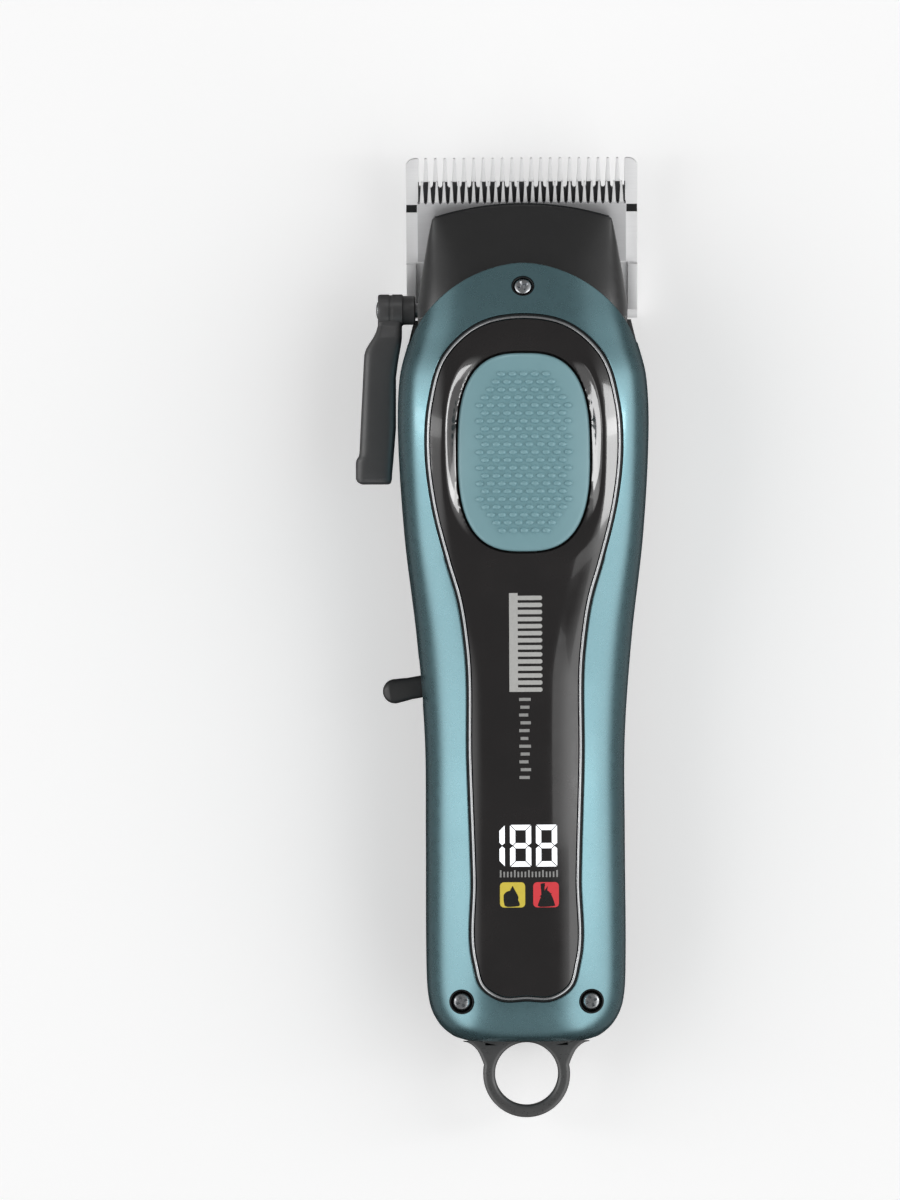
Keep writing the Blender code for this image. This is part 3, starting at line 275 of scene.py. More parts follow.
PANEL_COUNT = 420
PANEL_MIRROR = tuple((-x, y) for x, y in reversed(PANEL_EDGE[1:-1]))
PANEL_LOOP = smooth_loop(PANEL_EDGE + PANEL_MIRROR, PANEL_COUNT)
PANEL_ALONG = np.roll(PANEL_LOOP, -1, 0) - np.roll(PANEL_LOOP, 1, 0)
PANEL_ALONG /= np.linalg.norm(PANEL_ALONG, axis=1)[:, None]
PANEL_NORMAL = np.stack([-PANEL_ALONG[:, 1], PANEL_ALONG[:, 0]], -1)


def panel_outline(grow):
    return PANEL_LOOP + PANEL_NORMAL * grow


def panel_z(x, y):
    """The front panel's upper surface, with the dish around the button."""
    radius = superellipse_radius(x, y - BUTTON_CENTRE_Y, DISH_HALF, BUTTON_POWER)
    share = 1 - soft_ramp((radius - DISH_WALL[0]) / (DISH_WALL[1] - DISH_WALL[0]))
    surface = top_z(x, y, PANEL_INSET)
    return surface + np.minimum(DISH_FLOOR_Z - surface, 0.0) * share


def over_plan(grow, inset):
    """A row of points along the grown panel outline, below the casing's surface by the inset."""
    plan = panel_outline(grow)
    return np.column_stack([plan, top_z(plan[:, 0], plan[:, 1], max(inset, 0.0)) - min(inset, 0.0)])


# Takes (x, forward of the tips, above the blade plane) to the object's frame.
BLADE_MATRIX = Matrix.Translation(TIPS) @ Matrix.Rotation(BLADE_TILT, 4, "X")


def blade_rise(y, rise):
    """The height over the blade plane's line at y, raised square to that plane."""
    return TIPS.z + (y - TIPS.y) * math.tan(BLADE_TILT) + rise / math.cos(BLADE_TILT)


# ---------------------------------------------------------------- mesh helpers


def grid_faces(rows, columns, wrap_rows=False, wrap_columns=False, first=0):
    index = first + np.arange(rows * columns).reshape(rows, columns)
    if wrap_rows:
        index = np.vstack([index, index[:1]])
    if wrap_columns:
        index = np.hstack([index, index[:, :1]])
    corners = [index[:-1, :-1], index[:-1, 1:], index[1:, 1:], index[1:, :-1]]
    return np.stack(corners, -1).reshape(-1, 4).tolist()


def add_mesh(name, mesh, matrix=None):
    """An object from a mesh in millimetres, welded, and with its faces turned outwards."""
    if matrix is not None:
        mesh.transform(matrix)
    mesh.transform(Matrix.Scale(MM, 4))
    bm = bmesh.new()
    bm.from_mesh(mesh)
    bmesh.ops.remove_doubles(bm, verts=bm.verts, dist=2e-6)
    bmesh.ops.recalc_face_normals(bm, faces=bm.faces)
    bm.to_mesh(mesh)
    bm.free()
    piece = bpy.data.objects.new(name, mesh)
    bpy.context.scene.collection.objects.link(piece)
    return piece


def make_object(name, points, faces, matrix=None):
    """An object from points in millimetres."""
    mesh = bpy.data.meshes.new(name)
    mesh.from_pydata(np.asarray(points, float).reshape(-1, 3).tolist(), [], faces)
    return add_mesh(name, mesh, matrix)


def border(rows, columns):
    """The numbers of a grid's outer points, once round."""
    index = np.arange(rows * columns).reshape(rows, columns)
    return np.concatenate([index[0, :-1], index[:-1, -1], index[-1, :0:-1], index[:0:-1, 0]])


def closed_sheet(name, outer, inner):
    """A closed body between two grids of points with the same number of rows and columns."""
    rows, columns = outer.shape[:2]
    count = rows * columns
    faces = grid_faces(rows, columns) + grid_faces(rows, columns, first=count)
    rim = border(rows, columns)
    for a, b in zip(rim, np.roll(rim, -1)):
        faces.append([int(a), int(b), int(b) + count, int(a) + count])
    return make_object(name, np.concatenate([outer.reshape(-1, 3), inner.reshape(-1, 3)]), faces)


def ring_body(name, rings):
    """A closed body like a tyre: closed rows of points, the last row joined to the first."""
    rings = np.asarray(rings, float)
    return make_object(name, rings, grid_faces(*rings.shape[:2], wrap_rows=True, wrap_columns=True))


def lofted(name, rings, matrix=None):
    """A closed body through closed rows of points, with its two ends filled."""
    rings = np.asarray(rings, float)
    rows, columns = rings.shape[:2]
    faces = grid_faces(rows, columns, wrap_columns=True)
    faces += [list(range(columns)), list(range((rows - 1) * columns, rows * columns))]
    return make_object(name, rings, faces, matrix)


def pointing(centre, axis):
    """Takes the origin to the centre, and +Z to the axis."""
    turn = Vector((0, 0, 1)).rotation_difference(Vector(axis)).to_matrix().to_4x4()
    return Matrix.Translation(Vector(centre)) @ turn


def turned(name, points, centre, axis, steps=64):
    """A profile of (radius, height) turned about an axis; it starts and ends on the axis."""
    angle = 2 * math.pi * np.arange(steps) / steps
    rings = []
    for radius, height in points:
        radius = max(radius, 0.001)
        ring = [radius * np.cos(angle), radius * np.sin(angle), np.full(steps, height)]
        rings.append(np.stack(ring, -1))
    return lofted(name, rings, pointing(centre, axis))


def plate(name, outlines, low, high, bevel=0.0, matrix=None):
    """A flat outline with holes, from z = low to z = high, its edges rounded by the bevel."""
    curve = bpy.data.curves.new(name, "CURVE")
    curve.dimensions = "2D"
    curve.fill_mode = "BOTH"
    curve.extrude = (high - low) / 2 - bevel
    curve.bevel_depth = bevel
    curve.bevel_resolution = 2
    curve.offset = -bevel
    for outline in outlines:
        spline = curve.splines.new("POLY")
        spline.points.add(len(outline) - 1)
        spline.use_cyclic_u = True
        for point, (x, y) in zip(spline.points, outline):
            point.co = (x, y, 0.0, 1.0)
    guide = bpy.data.objects.new(name, curve)
    bpy.context.scene.collection.objects.link(guide)
    graph = bpy.context.evaluated_depsgraph_get()
    mesh = bpy.data.meshes.new_from_object(guide.evaluated_get(graph))
    bpy.data.objects.remove(guide, do_unlink=True)
    mesh.transform(Matrix.Translation((0.0, 0.0, (low + high) / 2)))
    return add_mesh(name, mesh, matrix)


def block(name, low, high, bevel=0.0, matrix=None):
    (x0, y0, z0), (x1, y1, z1) = low, high
    return plate(name, [[(x0, y0), (x1, y0), (x1, y1), (x0, y1)]], z0, z1, bevel, matrix)


def rod(name, start, end, radius, steps=40):
    start, end = Vector(start), Vector(end)
    return turned(name, [(radius, 0.0), (radius, (end - start).length)], start, end - start, steps)


def blade_rod(name, x, back, low, high, radius):
    """A rod square to the blade plane, from low to high above it."""
    made = rod(name, (x, -back, low), (x, -back, high), radius)
    made.data.transform(Matrix.Scale(MM, 4) @ BLADE_MATRIX @ Matrix.Scale(1 / MM, 4))
    return made


def taper_rod(name, start_x, end_x, radius, steps=40):
    """A rod on the taper lever's axis, between two distances from the middle of the casing."""
    start, end = (TAPER_AXIS + Vector((x, 0, 0)) for x in (start_x, end_x))
    return rod(name, start, end, radius, steps=steps)


def combine(piece, operation, *others):
    """Cuts the others from the piece, or joins them to it, and removes them."""
    for other in others:
        modifier = piece.modifiers.new("boolean", "BOOLEAN")
        modifier.operation = operation
        modifier.object = other
        modifier.solver = "EXACT"
    graph = bpy.context.evaluated_depsgraph_get()
    mesh = bpy.data.meshes.new_from_object(piece.evaluated_get(graph))
    piece.modifiers.clear()
    piece.data = mesh
    for other in others:
        bpy.data.objects.remove(other, do_unlink=True)
    return piece


def side_matrix():
    """Takes an outline drawn in YZ, with its thickness along X."""
    return Matrix(((0, 0, 1, 0), (1, 0, 0, 0), (0, 1, 0, 0), (0, 0, 0, 1)))


def finish(piece, look, body="root", nodes=(), sharp=32):
    """Gives a piece its material and body, and hides the CAD nodes that it stands for."""
    piece.data.materials.clear()
    piece.data.materials.append(LOOKS[look])
    piece.data.shade_smooth()
    piece.data.set_sharp_from_angle(angle=math.radians(sharp))
    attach(piece, body)
    if nodes:
        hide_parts(*nodes)
    return piece


# ---------------------------------------------------------------- materials


class Look:
    """A procedural material: textures in object space, measured in millimetres."""

    def __init__(self, name, colour, roughness, metallic=0.0, **sockets):
        self.name = name
        self.material = bpy.data.materials.new(name)
        self.material.use_nodes = True
        self.tree = self.material.node_tree
        self.shader = self.tree.nodes["Principled BSDF"]
        self.colour = colour
        self.shader.inputs["Base Color"].default_value = (*colour, 1.0)
        self.shader.inputs["Roughness"].default_value = roughness
        self.shader.inputs["Metallic"].default_value = metallic
        for socket, value in sockets.items():
            self.shader.inputs[socket.replace("_", " ")].default_value = value
        self.base = None

    def node(self, kind, inputs=None, **settings):
        made = self.tree.nodes.new("ShaderNode" + kind)
        for key, value in settings.items():
            setattr(made, key, value)
        for socket, value in (inputs or {}).items():
            if isinstance(value, bpy.types.NodeSocket):
                self.tree.links.new(value, made.inputs[socket])
            else:
                made.inputs[socket].default_value = value
        return made

    def place(self, size, stretch=(1, 1, 1)):
        """Coordinates where one unit is the given size in millimetres."""
        coordinates = self.node("TexCoord")
        scale = [1 / (MM * size * s) for s in stretch]
        mapping = self.node("Mapping", {"Vector": coordinates.outputs["Object"], "Scale": scale})
        return mapping.outputs["Vector"]

    def noise(self, size, stretch=(1, 1, 1), detail=2.0):
        place = self.place(size, stretch)
        made = self.node("TexNoise", {"Vector": place, "Scale": 1.0, "Detail": detail})
        return made.outputs["Fac"]

    def cells(self, size, output="Color"):
        made = self.node("TexVoronoi", {"Vector": self.place(size), "Scale": 1.0})
        return made.outputs[output]

    def tint(self, factor, other, low=0.35, high=0.65, amount=1.0):
        """Mixes another colour into the base where the factor is high."""
        spread = self.node("MapRange", {"Value": factor, "From Min": low, "From Max": high, "To Max": amount})
        mix = self.node("Mix", data_type="RGBA")
        self.tree.links.new(spread.outputs["Result"], mix.inputs[0])
        if self.base is None:
            mix.inputs[6].default_value = (*self.colour, 1.0)
        else:
            self.tree.links.new(self.base, mix.inputs[6])
        mix.inputs[7].default_value = (*other, 1.0)
        self.base = mix.outputs[2]
        self.tree.links.new(self.base, self.shader.inputs["Base Color"])
        return self

    def roughen(self, factor, low, high):
        limits = {"From Min": 0.3, "From Max": 0.7, "To Min": low, "To Max": high}
        spread = self.node("MapRange", {"Value": factor, **limits})
        self.tree.links.new(spread.outputs["Result"], self.shader.inputs["Roughness"])
        return self

    def bump(self, height, depth):
        """Adds relief of the given depth in millimetres."""
        made = self.node("Bump", {"Strength": 1.0, "Distance": depth * MM, "Height": height})
        normal = self.shader.inputs["Normal"]
        if normal.is_linked:
            self.tree.links.new(normal.links[0].from_socket, made.inputs["Normal"])
        self.tree.links.new(made.outputs["Normal"], normal)
        return self


def painted():
    look = Look("teal_paint", (0.21, 0.385, 0.43), 0.27, 0.9, Coat_Weight=0.6, Coat_Roughness=0.05)
    look.tint(look.cells(0.14), (0.28, 0.47, 0.52), 0.3, 0.9, 0.4)
    look.tint(look.noise(14.0), (0.18, 0.35, 0.395), 0.45, 0.75, 0.4)
    look.roughen(look.noise(2.2, detail=4), 0.25, 0.31)
    look.bump(look.cells(0.12, "Distance"), 0.0012)
    look.bump(look.noise(1.6), 0.0018)
    return look


def moulded(name, colour, lighter, roughness, grain=0.16, depth=0.012, **sockets):
    """Moulded plastic with a fine spark-eroded grain."""
    look = Look(name, colour, roughness, **sockets)
    look.tint(look.noise(6.0, detail=4), lighter, 0.4, 0.8, 0.7)
    look.roughen(look.noise(0.9, detail=4), roughness - 0.05, roughness + 0.07)
    look.bump(look.noise(grain, detail=3), depth)
    look.bump(look.noise(7.0), 0.02)
    return look


def button_skin():
    look = Look("teal_satin", (0.25, 0.45, 0.495), 0.44, 0.1, Coat_Weight=0.35, Coat_Roughness=0.22)
    look.tint(look.noise(5.0, detail=3), (0.275, 0.485, 0.53), 0.4, 0.75, 0.5)
    look.roughen(look.noise(0.6, detail=4), 0.38, 0.5)
    look.bump(look.noise(0.12, detail=3), 0.006)
    return look


def polished_black():
    look = Look("black_gloss", (0.020, 0.018, 0.018), 0.10, Coat_Weight=0.5, Coat_Roughness=0.03)
    look.tint(look.noise(9.0, detail=5), (0.028, 0.025, 0.025), 0.45, 0.8, 0.6)
    look.roughen(look.noise(3.0, detail=6), 0.09, 0.15)
    look.bump(look.noise(4.0), 0.003)
    return look


def brushed(name, colour, roughness, along=(12.0, 0.25, 0.25), size=0.5, dirt=0.5, depth=0.004, metallic=1.0):
    """Ground or drawn metal, its lines long along one direction."""
    look = Look(name, colour, roughness, metallic)
    darker = tuple(0.78 * c for c in colour)
    look.tint(look.noise(size, along, 3.0), darker, 0.35, 0.7, dirt)
    look.tint(look.noise(7.0, detail=3), tuple(0.9 * c for c in colour), 0.45, 0.7, 0.4)
    look.roughen(look.noise(size, along, 4.0), roughness - 0.06, roughness + 0.10)
    look.bump(look.noise(size * 0.6, along, 2.0), depth)
    return look


def windings():
    look = Look("copper_winding", (0.52, 0.24, 0.10), 0.32, 1.0)
    inputs = {"Vector": look.place(1.0), "Scale": 1.6, "Distortion": 0.4}
    wires = look.node("TexWave", inputs, bands_direction="X")
    look.tint(wires.outputs["Fac"], (0.28, 0.10, 0.04), 0.2, 0.8, 0.8)
    look.bump(wires.outputs["Fac"], 0.08)
    return look


def circuit_board():
    look = Look("board_green", (0.012, 0.11, 0.045), 0.35, Coat_Weight=0.3)
    tracks = look.node("TexBrick", {"Vector": look.place(4.0), "Scale": 1.0, "Mortar Size": 0.06})
    look.tint(tracks.outputs["Fac"], (0.03, 0.20, 0.08), 0.0, 1.0, 0.8)
    look.bump(tracks.outputs["Fac"], 0.03)
    return look


def wrapped_cell():
    look = Look("battery_wrap", (0.03, 0.11, 0.34), 0.3, Coat_Weight=0.4)
    look.tint(look.noise(3.0, (1, 8, 1), 3), (0.05, 0.17, 0.45), 0.4, 0.7, 0.8)
    look.bump(look.noise(2.0, (1, 6, 1), 3), 0.04)
    return look


def lit(name, colour, strength):
    """A sign or a figure of the display, lit from within."""
    look = Look(name, colour, 0.3, Emission_Color=(*colour, 1.0), Emission_Strength=strength)
    look.tint(look.noise(1.2, detail=3), tuple(0.85 * c for c in colour), 0.4, 0.7, 0.5)
    look.bump(look.noise(0.5), 0.004)
    return look


def printed(name, colour):
    look = Look(name, colour, 0.35)
    look.tint(look.noise(0.5, detail=4), tuple(0.88 * c for c in colour), 0.4, 0.7, 0.6)
    look.bump(look.noise(0.2), 0.004)
    return look


def wire_skin(name, colour):
    look = Look(name, colour, 0.4)
    look.tint(look.noise(1.0, detail=3), tuple(0.8 * c for c in colour), 0.4, 0.7, 0.6)
    look.bump(look.noise(0.4, detail=3), 0.01)
    return look


def ground(name, colour, roughness, dirt, metallic):
    """Blade steel, finely ground along the blade."""
    return brushed(name, colour, roughness, size=0.35, dirt=dirt, depth=0.002, metallic=metallic)


def make_looks():
    even = (1, 1, 1)
    lever_greys = (0.080, 0.080, 0.081), (0.098, 0.098, 0.099)
    loop_greys = (0.078, 0.078, 0.078), (0.094, 0.094, 0.094)
    satin_greys = (0.014, 0.014, 0.0145), (0.020, 0.020, 0.020)
    cover_greys = (0.011, 0.011, 0.0115), (0.016, 0.016, 0.016)
    sheen = {"Sheen_Weight": 0.5, "Sheen_Roughness": 0.35}
    looks = [
        painted(),
        button_skin(),
        polished_black(),
        moulded("black_satin", *satin_greys, 0.45, Specular_IOR_Level=0.85),
        moulded("cover_black", *cover_greys, 0.34, Specular_IOR_Level=1.0, **sheen),
        moulded("black_lever", *lever_greys, 0.34, Specular_IOR_Level=0.7),
        moulded("black_loop", *loop_greys, 0.30, Specular_IOR_Level=0.8),
        # Near-black plastic: the icons, the seal and the slot plate are black parts, and the screw cups,
        # cover rim and notch blocks use it as painted shade.
        moulded("black_and_painted_shade", (0.006, 0.007, 0.008), (0.010, 0.011, 0.012), 0.5),
        moulded("white_plastic", (0.70, 0.70, 0.68), (0.76, 0.76, 0.74), 0.42),
        brushed("dark_metal", (0.30, 0.32, 0.335), 0.28, even, 0.3, 0.3, 0.002),
        brushed("trim_metal", (0.62, 0.63, 0.64), 0.30, even, 0.3, 0.3, 0.002),
        ground("blade_steel", (0.92, 0.92, 0.925), 0.42, 0.15, 0.55),
        ground("cutter_steel", (0.66, 0.66, 0.67), 0.42, 0.2, 0.6),
        # Lighter steel for the cutter's top faces: partly the fresh grind, partly a painted highlight.
        ground("ground_and_highlight_steel", (0.95, 0.95, 0.955), 0.40, 0.1, 0.3),
        # Near-black steel for the cutter's track: painted shade under the cutter's teeth.
        ground("painted_shade_steel", (0.10, 0.10, 0.105), 0.34, 0.3, 0.8),
        brushed("spring_steel", (0.42, 0.42, 0.43), 0.28, even),
        brushed("screw_steel", (0.66, 0.68, 0.70), 0.22, even, 0.25),
        brushed("zinc", (0.60, 0.61, 0.62), 0.34, even, 1.5),
        windings(),
        circuit_board(),
        wrapped_cell(),
        wire_skin("wire_red", (0.50, 0.02, 0.02)),
        wire_skin("wire_black", (0.015, 0.015, 0.015)),
        lit("lit_white", (0.90, 0.92, 0.95), 0.9),
        lit("lit_yellow", (0.62, 0.50, 0.07), 0.35),
        lit("lit_red", (0.62, 0.05, 0.06), 0.4),
        printed("print_white", (0.62, 0.62, 0.60)),
        printed("print_grey", (0.42, 0.42, 0.41)),
    ]
    return {look.name: look.material for look in looks}


# ---------------------------------------------------------------- the casing


def right_boundary(samples):
    """The front shell's outer edge, as y and angle for the outline's right half, top to bottom."""
    outline = PANEL_LOOP[:samples]
    along = np.arange(samples, dtype=float)
    upper = outline[:, 1]
    stop_arch = int(np.argmax(upper < 50.0))
    stop_corner = int(np.argmax(upper < 42.0))
    stop_side = int(np.argmax(upper < -60.0))
    tail_half_width = 5.0
    point_step = np.linalg.norm(PANEL_LOOP[1] - PANEL_LOOP[0])
    stop_tail = samples - 1 - int(round(tail_half_width / point_step))
    start = math.asin(((ARCH["start_y"] - ARCH["centre_y"]) / ARCH["height"]) ** (ARCH["power"] / 2))
    turn = np.interp(along, [0, stop_arch], [math.pi / 2, start])
    arch_x = ARCH["half_width"] * spow(np.cos(turn), 2 / ARCH["power"])
    arch_y = ARCH["centre_y"] + ARCH["height"] * np.sin(turn) ** (2 / ARCH["power"])
    arch_angle = plan_angle(arch_x, arch_y)
    tail_end = TAIL_Y - TAIL_CAP_REACH
    y = np.interp(along, [stop_corner, stop_side, stop_tail], [ARCH["start_y"], -76.0, tail_end])
    y = np.where(along <= stop_arch, arch_y, y)
    parting = angle_below(np.maximum(y, TAIL_Y), SHELL_EDGE_Z)
    angle = np.interp(along, [stop_arch, stop_corner], [arch_angle[stop_arch], parting[stop_corner]])
    angle = np.where(along <= stop_arch, arch_angle, np.where(along <= stop_corner, angle, parting))
    to_centre = smooth_step((along - stop_tail) / (samples - 1 - stop_tail)) ** 0.8
    angle = angle + (math.pi / 2 - angle) * np.where(along > stop_tail, to_centre, 0.0)
    return y, angle


def casing_slots():
    """The openings that both halves of the casing leave for the power toggle and the loop."""
    slot = block("slot", (-24.0, -13.2, 13.4), (-17.0, -4.2, 18.6), 0.4)
    half, play = 9.4, 0.3
    low, high = (-half, -85.0, LOOP_Z[0] - play), (half, -76.0, LOOP_Z[1] + play)
    return [slot, block("loop_slot", low, high)]


def make_front_shell():
    """The painted upper half: a closed ring of rows from the panel's window to the outer edge."""
    half = PANEL_COUNT // 2 + 1
    edge_y, edge_angle = right_boundary(half)
    mirrored = slice(half - 2, 0, -1)
    edge_y = np.concatenate([edge_y, edge_y[mirrored]])
    edge_angle = np.concatenate([edge_angle, math.pi - edge_angle[mirrored]])

    def across(share, inset):
        """A row part of the way from the window to the outer edge."""
        plan = panel_outline(1.55)
        angle = plan_angle(np.abs(plan[:, 0]), plan[:, 1])
        angle = np.where(plan[:, 0] < 0, math.pi - angle, angle)
        y = plan[:, 1] + (edge_y - plan[:, 1]) * share
        return casing_grid(y, angle + (edge_angle - angle) * share, inset)

    rows = [over_plan(-1.2, WALL), over_plan(-1.2, 1.42), over_plan(-1.08, LEDGE_DEPTH)]
    rows += [over_plan(grow, LEDGE_DEPTH) for grow in (-0.3, 0.5, 1.05)]
    lip = ((1.2, 1.2), (1.2, 0.6), (1.2, 0.12), (1.23, 0.045), (1.28, 0.01), (1.4, 0.0))
    rows += [over_plan(grow, inset) for grow, inset in lip]
    rows += [across(share, 0.0) for share in np.linspace(0.0, 0.975, 60)]
    edge = ((0.985, 0.01), (0.992, 0.05), (0.997, 0.14), (1.0, 0.32), (1.0, 0.8), (1.0, 1.4), (1.0, WALL))
    rows += [across(share, inset) for share, inset in edge]
    rows += [across(share, WALL) for share in np.linspace(0.97, 0.0, 24)]
    rows += [over_plan(0.6, WALL)]
    shell = ring_body("front_shell_surface", rows)

    cutters = casing_slots()
    for x in (-CASE_SCREW[0], CASE_SCREW[0]):
        bottom, above = (x, CASE_SCREW[1], 20.0), (x, CASE_SCREW[1], 40.0)
        cutters.append(rod("counterbore", bottom, above, 2.5, steps=48))
    seat, axis = top_screw_seat()
    cutters.append(rod("counterbore", seat - axis * 3.2, seat + axis * 8, 2.3, steps=48))
    combine(shell, "DIFFERENCE", *cutters)
    finish(shell, "teal_paint", nodes=["front_shell"], sharp=40)


def top_screw_seat():
    """Where the top screw's head seats, and the way it points, square to the sloping front."""
    ahead, behind = profile(STATIONS, 2, TOP_SCREW_Y + 1), profile(STATIONS, 2, TOP_SCREW_Y - 1)
    axis = Vector((0.0, -(ahead - behind) / 2, 1.0)).normalized()
    seat = Vector((0.0, TOP_SCREW_Y, profile(STATIONS, 2, TOP_SCREW_Y))) - axis * 1.25
    return seat, axis


def make_rear_housing():
    """The lower half of the casing, cut at the parting line."""
    tail = np.linspace(TAIL_Y - TAIL_CAP_REACH, TAIL_Y, 26)[:-1]
    y = np.concatenate([tail, np.linspace(TAIL_Y, HOUSING_END_Y, 210)])
    edges = np.array([0.0, 0.004, 0.010, 0.018])
    across = np.concatenate([-1 + edges, np.linspace(-0.965, 0.965, 120), 1 - edges[::-1]])
    round_off = np.interp(np.abs(across), [0.96, 0.982, 0.99, 0.996, 1.0], [0.0, 0.01, 0.05, 0.13, 0.3])
    y_grid, across_grid = np.meshgrid(y, across, indexing="ij")
    parting = angle_below(np.maximum(y_grid, TAIL_Y), HOUSING_EDGE_Z)
    angle = -math.pi / 2 + across_grid * (math.pi / 2 + parting)
    outer = casing_grid(y_grid, angle, round_off[None, :])
    inner = casing_grid(y_grid, angle, WALL)
    housing = closed_sheet("rear_housing_surface", outer, inner)
    port = superellipse(4.8, 2.0, 3.5, 8.6, 60)
    combine(
        housing,
        "DIFFERENCE",
        *casing_slots(),
        plate("port_hole", [port], 76.0, 85.0, matrix=port_matrix()),
        taper_rod("lever_room", -32, -20.5, 3.3, steps=64),
    )
    finish(housing, "black_satin", nodes=["rear_housing"], sharp=40)


def port_matrix():
    """Takes an outline drawn in XZ, with its thickness towards -Y."""
    return Matrix(((1, 0, 0, 0), (0, 0, -1, 0), (0, 1, 0, 0), (0, 0, 0, 1)))


def make_head_cover():
    """The cover's front bows forward over the cutter, so its grid is fitted to it in a few rounds."""
    along = np.concatenate([np.linspace(0, 0.975, 90), [0.985, 0.992, 0.997, 1.0]])
    front_round = np.interp(along, [0.97, 0.985, 0.992, 0.997, 1.0], [0.0, 0.03, 0.12, 0.25, 0.5])
    across = np.concatenate([[-1.0, -0.996, -0.99], np.linspace(-0.98, 0.98, 110), [0.99, 0.996, 1.0]])
    side_round = np.interp(np.abs(across), [0.98, 0.99, 0.996, 1.0], [0.0, 0.04, 0.12, 0.3])
    along_grid, across_grid = np.meshgrid(along, across, indexing="ij")
    y = COVER_START_Y + along_grid * (86.0 - COVER_START_Y)
    for _ in range(6):
        lowest = blade_rise(y, COVER_RISE)
        lowest = np.where(y < COVER_STEP_Y, np.maximum(lowest, 15.45), lowest)
        angle = math.pi / 2 + across_grid * (math.pi / 2 - angle_below(y, lowest, HEAD_STATIONS))
        x, _ = section_point(y, angle, 0.0, HEAD_STATIONS)
        bow = np.sqrt(COVER_BOW_RADIUS**2 - np.minimum(np.abs(x), COVER_FRONT_HALF) ** 2)
        front = np.where(np.abs(x) < COVER_FRONT_HALF, COVER_BOW_Y + bow, COVER_CORNER_Y)
        y = COVER_START_Y + along_grid * (front - COVER_START_Y)
    inset = np.maximum(front_round[:, None], side_round[None, :])
    x, z = section_point(y, angle, inset, HEAD_STATIONS)
    outer = np.stack([x, y, z], -1)
    x, z = section_point(y, angle, COVER_WALL, HEAD_STATIONS)
    inner = np.stack([x, y, z], -1)
    cover = closed_sheet("head_cover_surface", outer, inner)
    seat, axis = top_screw_seat()
    combine(
        cover,
        "DIFFERENCE",
        taper_rod("lever_hole", -26, -15, 1.9),
        rod("screw_hole", seat - axis * 10, seat + axis, 1.2),
    )
    finish(cover, "cover_black", nodes=["head_cover"], sharp=40)
    make_cover_rim(outer)


def make_cover_rim(outer):
    """The thin black lip along the cover's sides and front, just above the blades: painted shade for the
    shadow line under the cover's edge.
    """
    edge = np.concatenate([outer[10:, 0], outer[-1, 1:-1], outer[:9:-1, -1]])
    away = edge[:, :2] - np.array([0.0, 70.0])
    along = np.gradient(edge[:, :2], axis=0)
    normal = np.stack([along[:, 1], -along[:, 0]], -1)
    normal /= np.linalg.norm(normal, axis=1)[:, None]
    normal *= np.sign((normal * away).sum(1))[:, None]
    section = ((-0.5, -0.12), (0.16, -0.12), (0.24, 0.0), (0.24, 0.22), (0.1, 0.36), (-0.5, 0.36))
    rows = [np.column_stack([edge[:, :2] + normal * out, edge[:, 2] + up]) for out, up in section]
    rim = lofted("head_cover_painted_shade_rim", np.stack(rows, 1))
    finish(rim, "black_and_painted_shade", sharp=50)

    # A short skirt closes the front down to just above the cutter.
    front = outer[-1][np.abs(outer[-1][:, 0]) < COVER_FRONT_HALF - 0.3]
    low, high = blade_rise(front[:, 1], COVER_RISE), front[:, 2] - 0.1
    section = ((0.06, low), (0.06, high), (0.45, high), (0.45, low))
    rows = [np.column_stack([front[:, 0], front[:, 1] - back, z]) for back, z in section]
    skirt = lofted("head_cover_skirt", np.stack(rows, 1))
    finish(skirt, "cover_black", sharp=50)


# ---------------------------------------------------------------- panel, trim and display


def make_panel():
    x = np.linspace(-19.4, 19.4, 98)
    y = np.linspace(-72.5, 64.5, 344)
    y_grid, x_grid = np.meshgrid(y, x, indexing="ij")
    z = panel_z(x_grid, y_grid)
    upper = np.stack([x_grid, y_grid, z], -1)
    lower = np.stack([x_grid, y_grid, z - PANEL_THICKNESS], -1)
    panel = closed_sheet("front_panel_surface", upper, lower)
    combine(panel, "INTERSECT", plate("outline", [panel_outline(0.0)], 20.0, 50.0))
    half_x, half_y = BUTTON_HALF
    hole = superellipse(half_x + 0.45, half_y + 0.45, BUTTON_POWER, BUTTON_CENTRE_Y, 160)
    combine(panel, "DIFFERENCE", plate("button_hole", [hole], 20.0, 50.0))
    finish(panel, "black_gloss", nodes=["front_panel"], sharp=40)

    # The trim is a thin rolled bead that sits in the groove between the panel and the shell.
    bead = ((0.2, 0.95), (0.2, 0.22), (0.26, 0.05), (0.38, -0.06), (0.5, -0.08), (0.62, -0.04))
    bead += ((0.72, 0.06), (0.78, 0.25), (0.78, 0.95))
    trim = ring_body("panel_trim_bead", [over_plan(grow, inset) for grow, inset in bead])
    finish(trim, "trim_metal", nodes=["panel_trim"], sharp=50)

    # A black seal fills the rest of the groove, a little below the trim.
    section = ((0.76, 1.1), (0.76, 0.34), (0.82, 0.26), (0.97, 0.22), (1.1, 0.26), (1.17, 0.34), (1.17, 1.1))
    seal = ring_body("panel_seal", [over_plan(grow, inset) for grow, inset in section])
    finish(seal, "black_and_painted_shade", sharp=50)


def fine_outline(points, step=0.7):
    """The same outline with more points on its long edges."""
    made = []
    p = np.array(points, float)
    for start, end in zip(p, np.roll(p, -1, 0)):
        count = max(1, int(math.ceil(np.linalg.norm(end - start) / step)))
        made += [start + (end - start) * i / count for i in range(count)]
    return np.array(made)


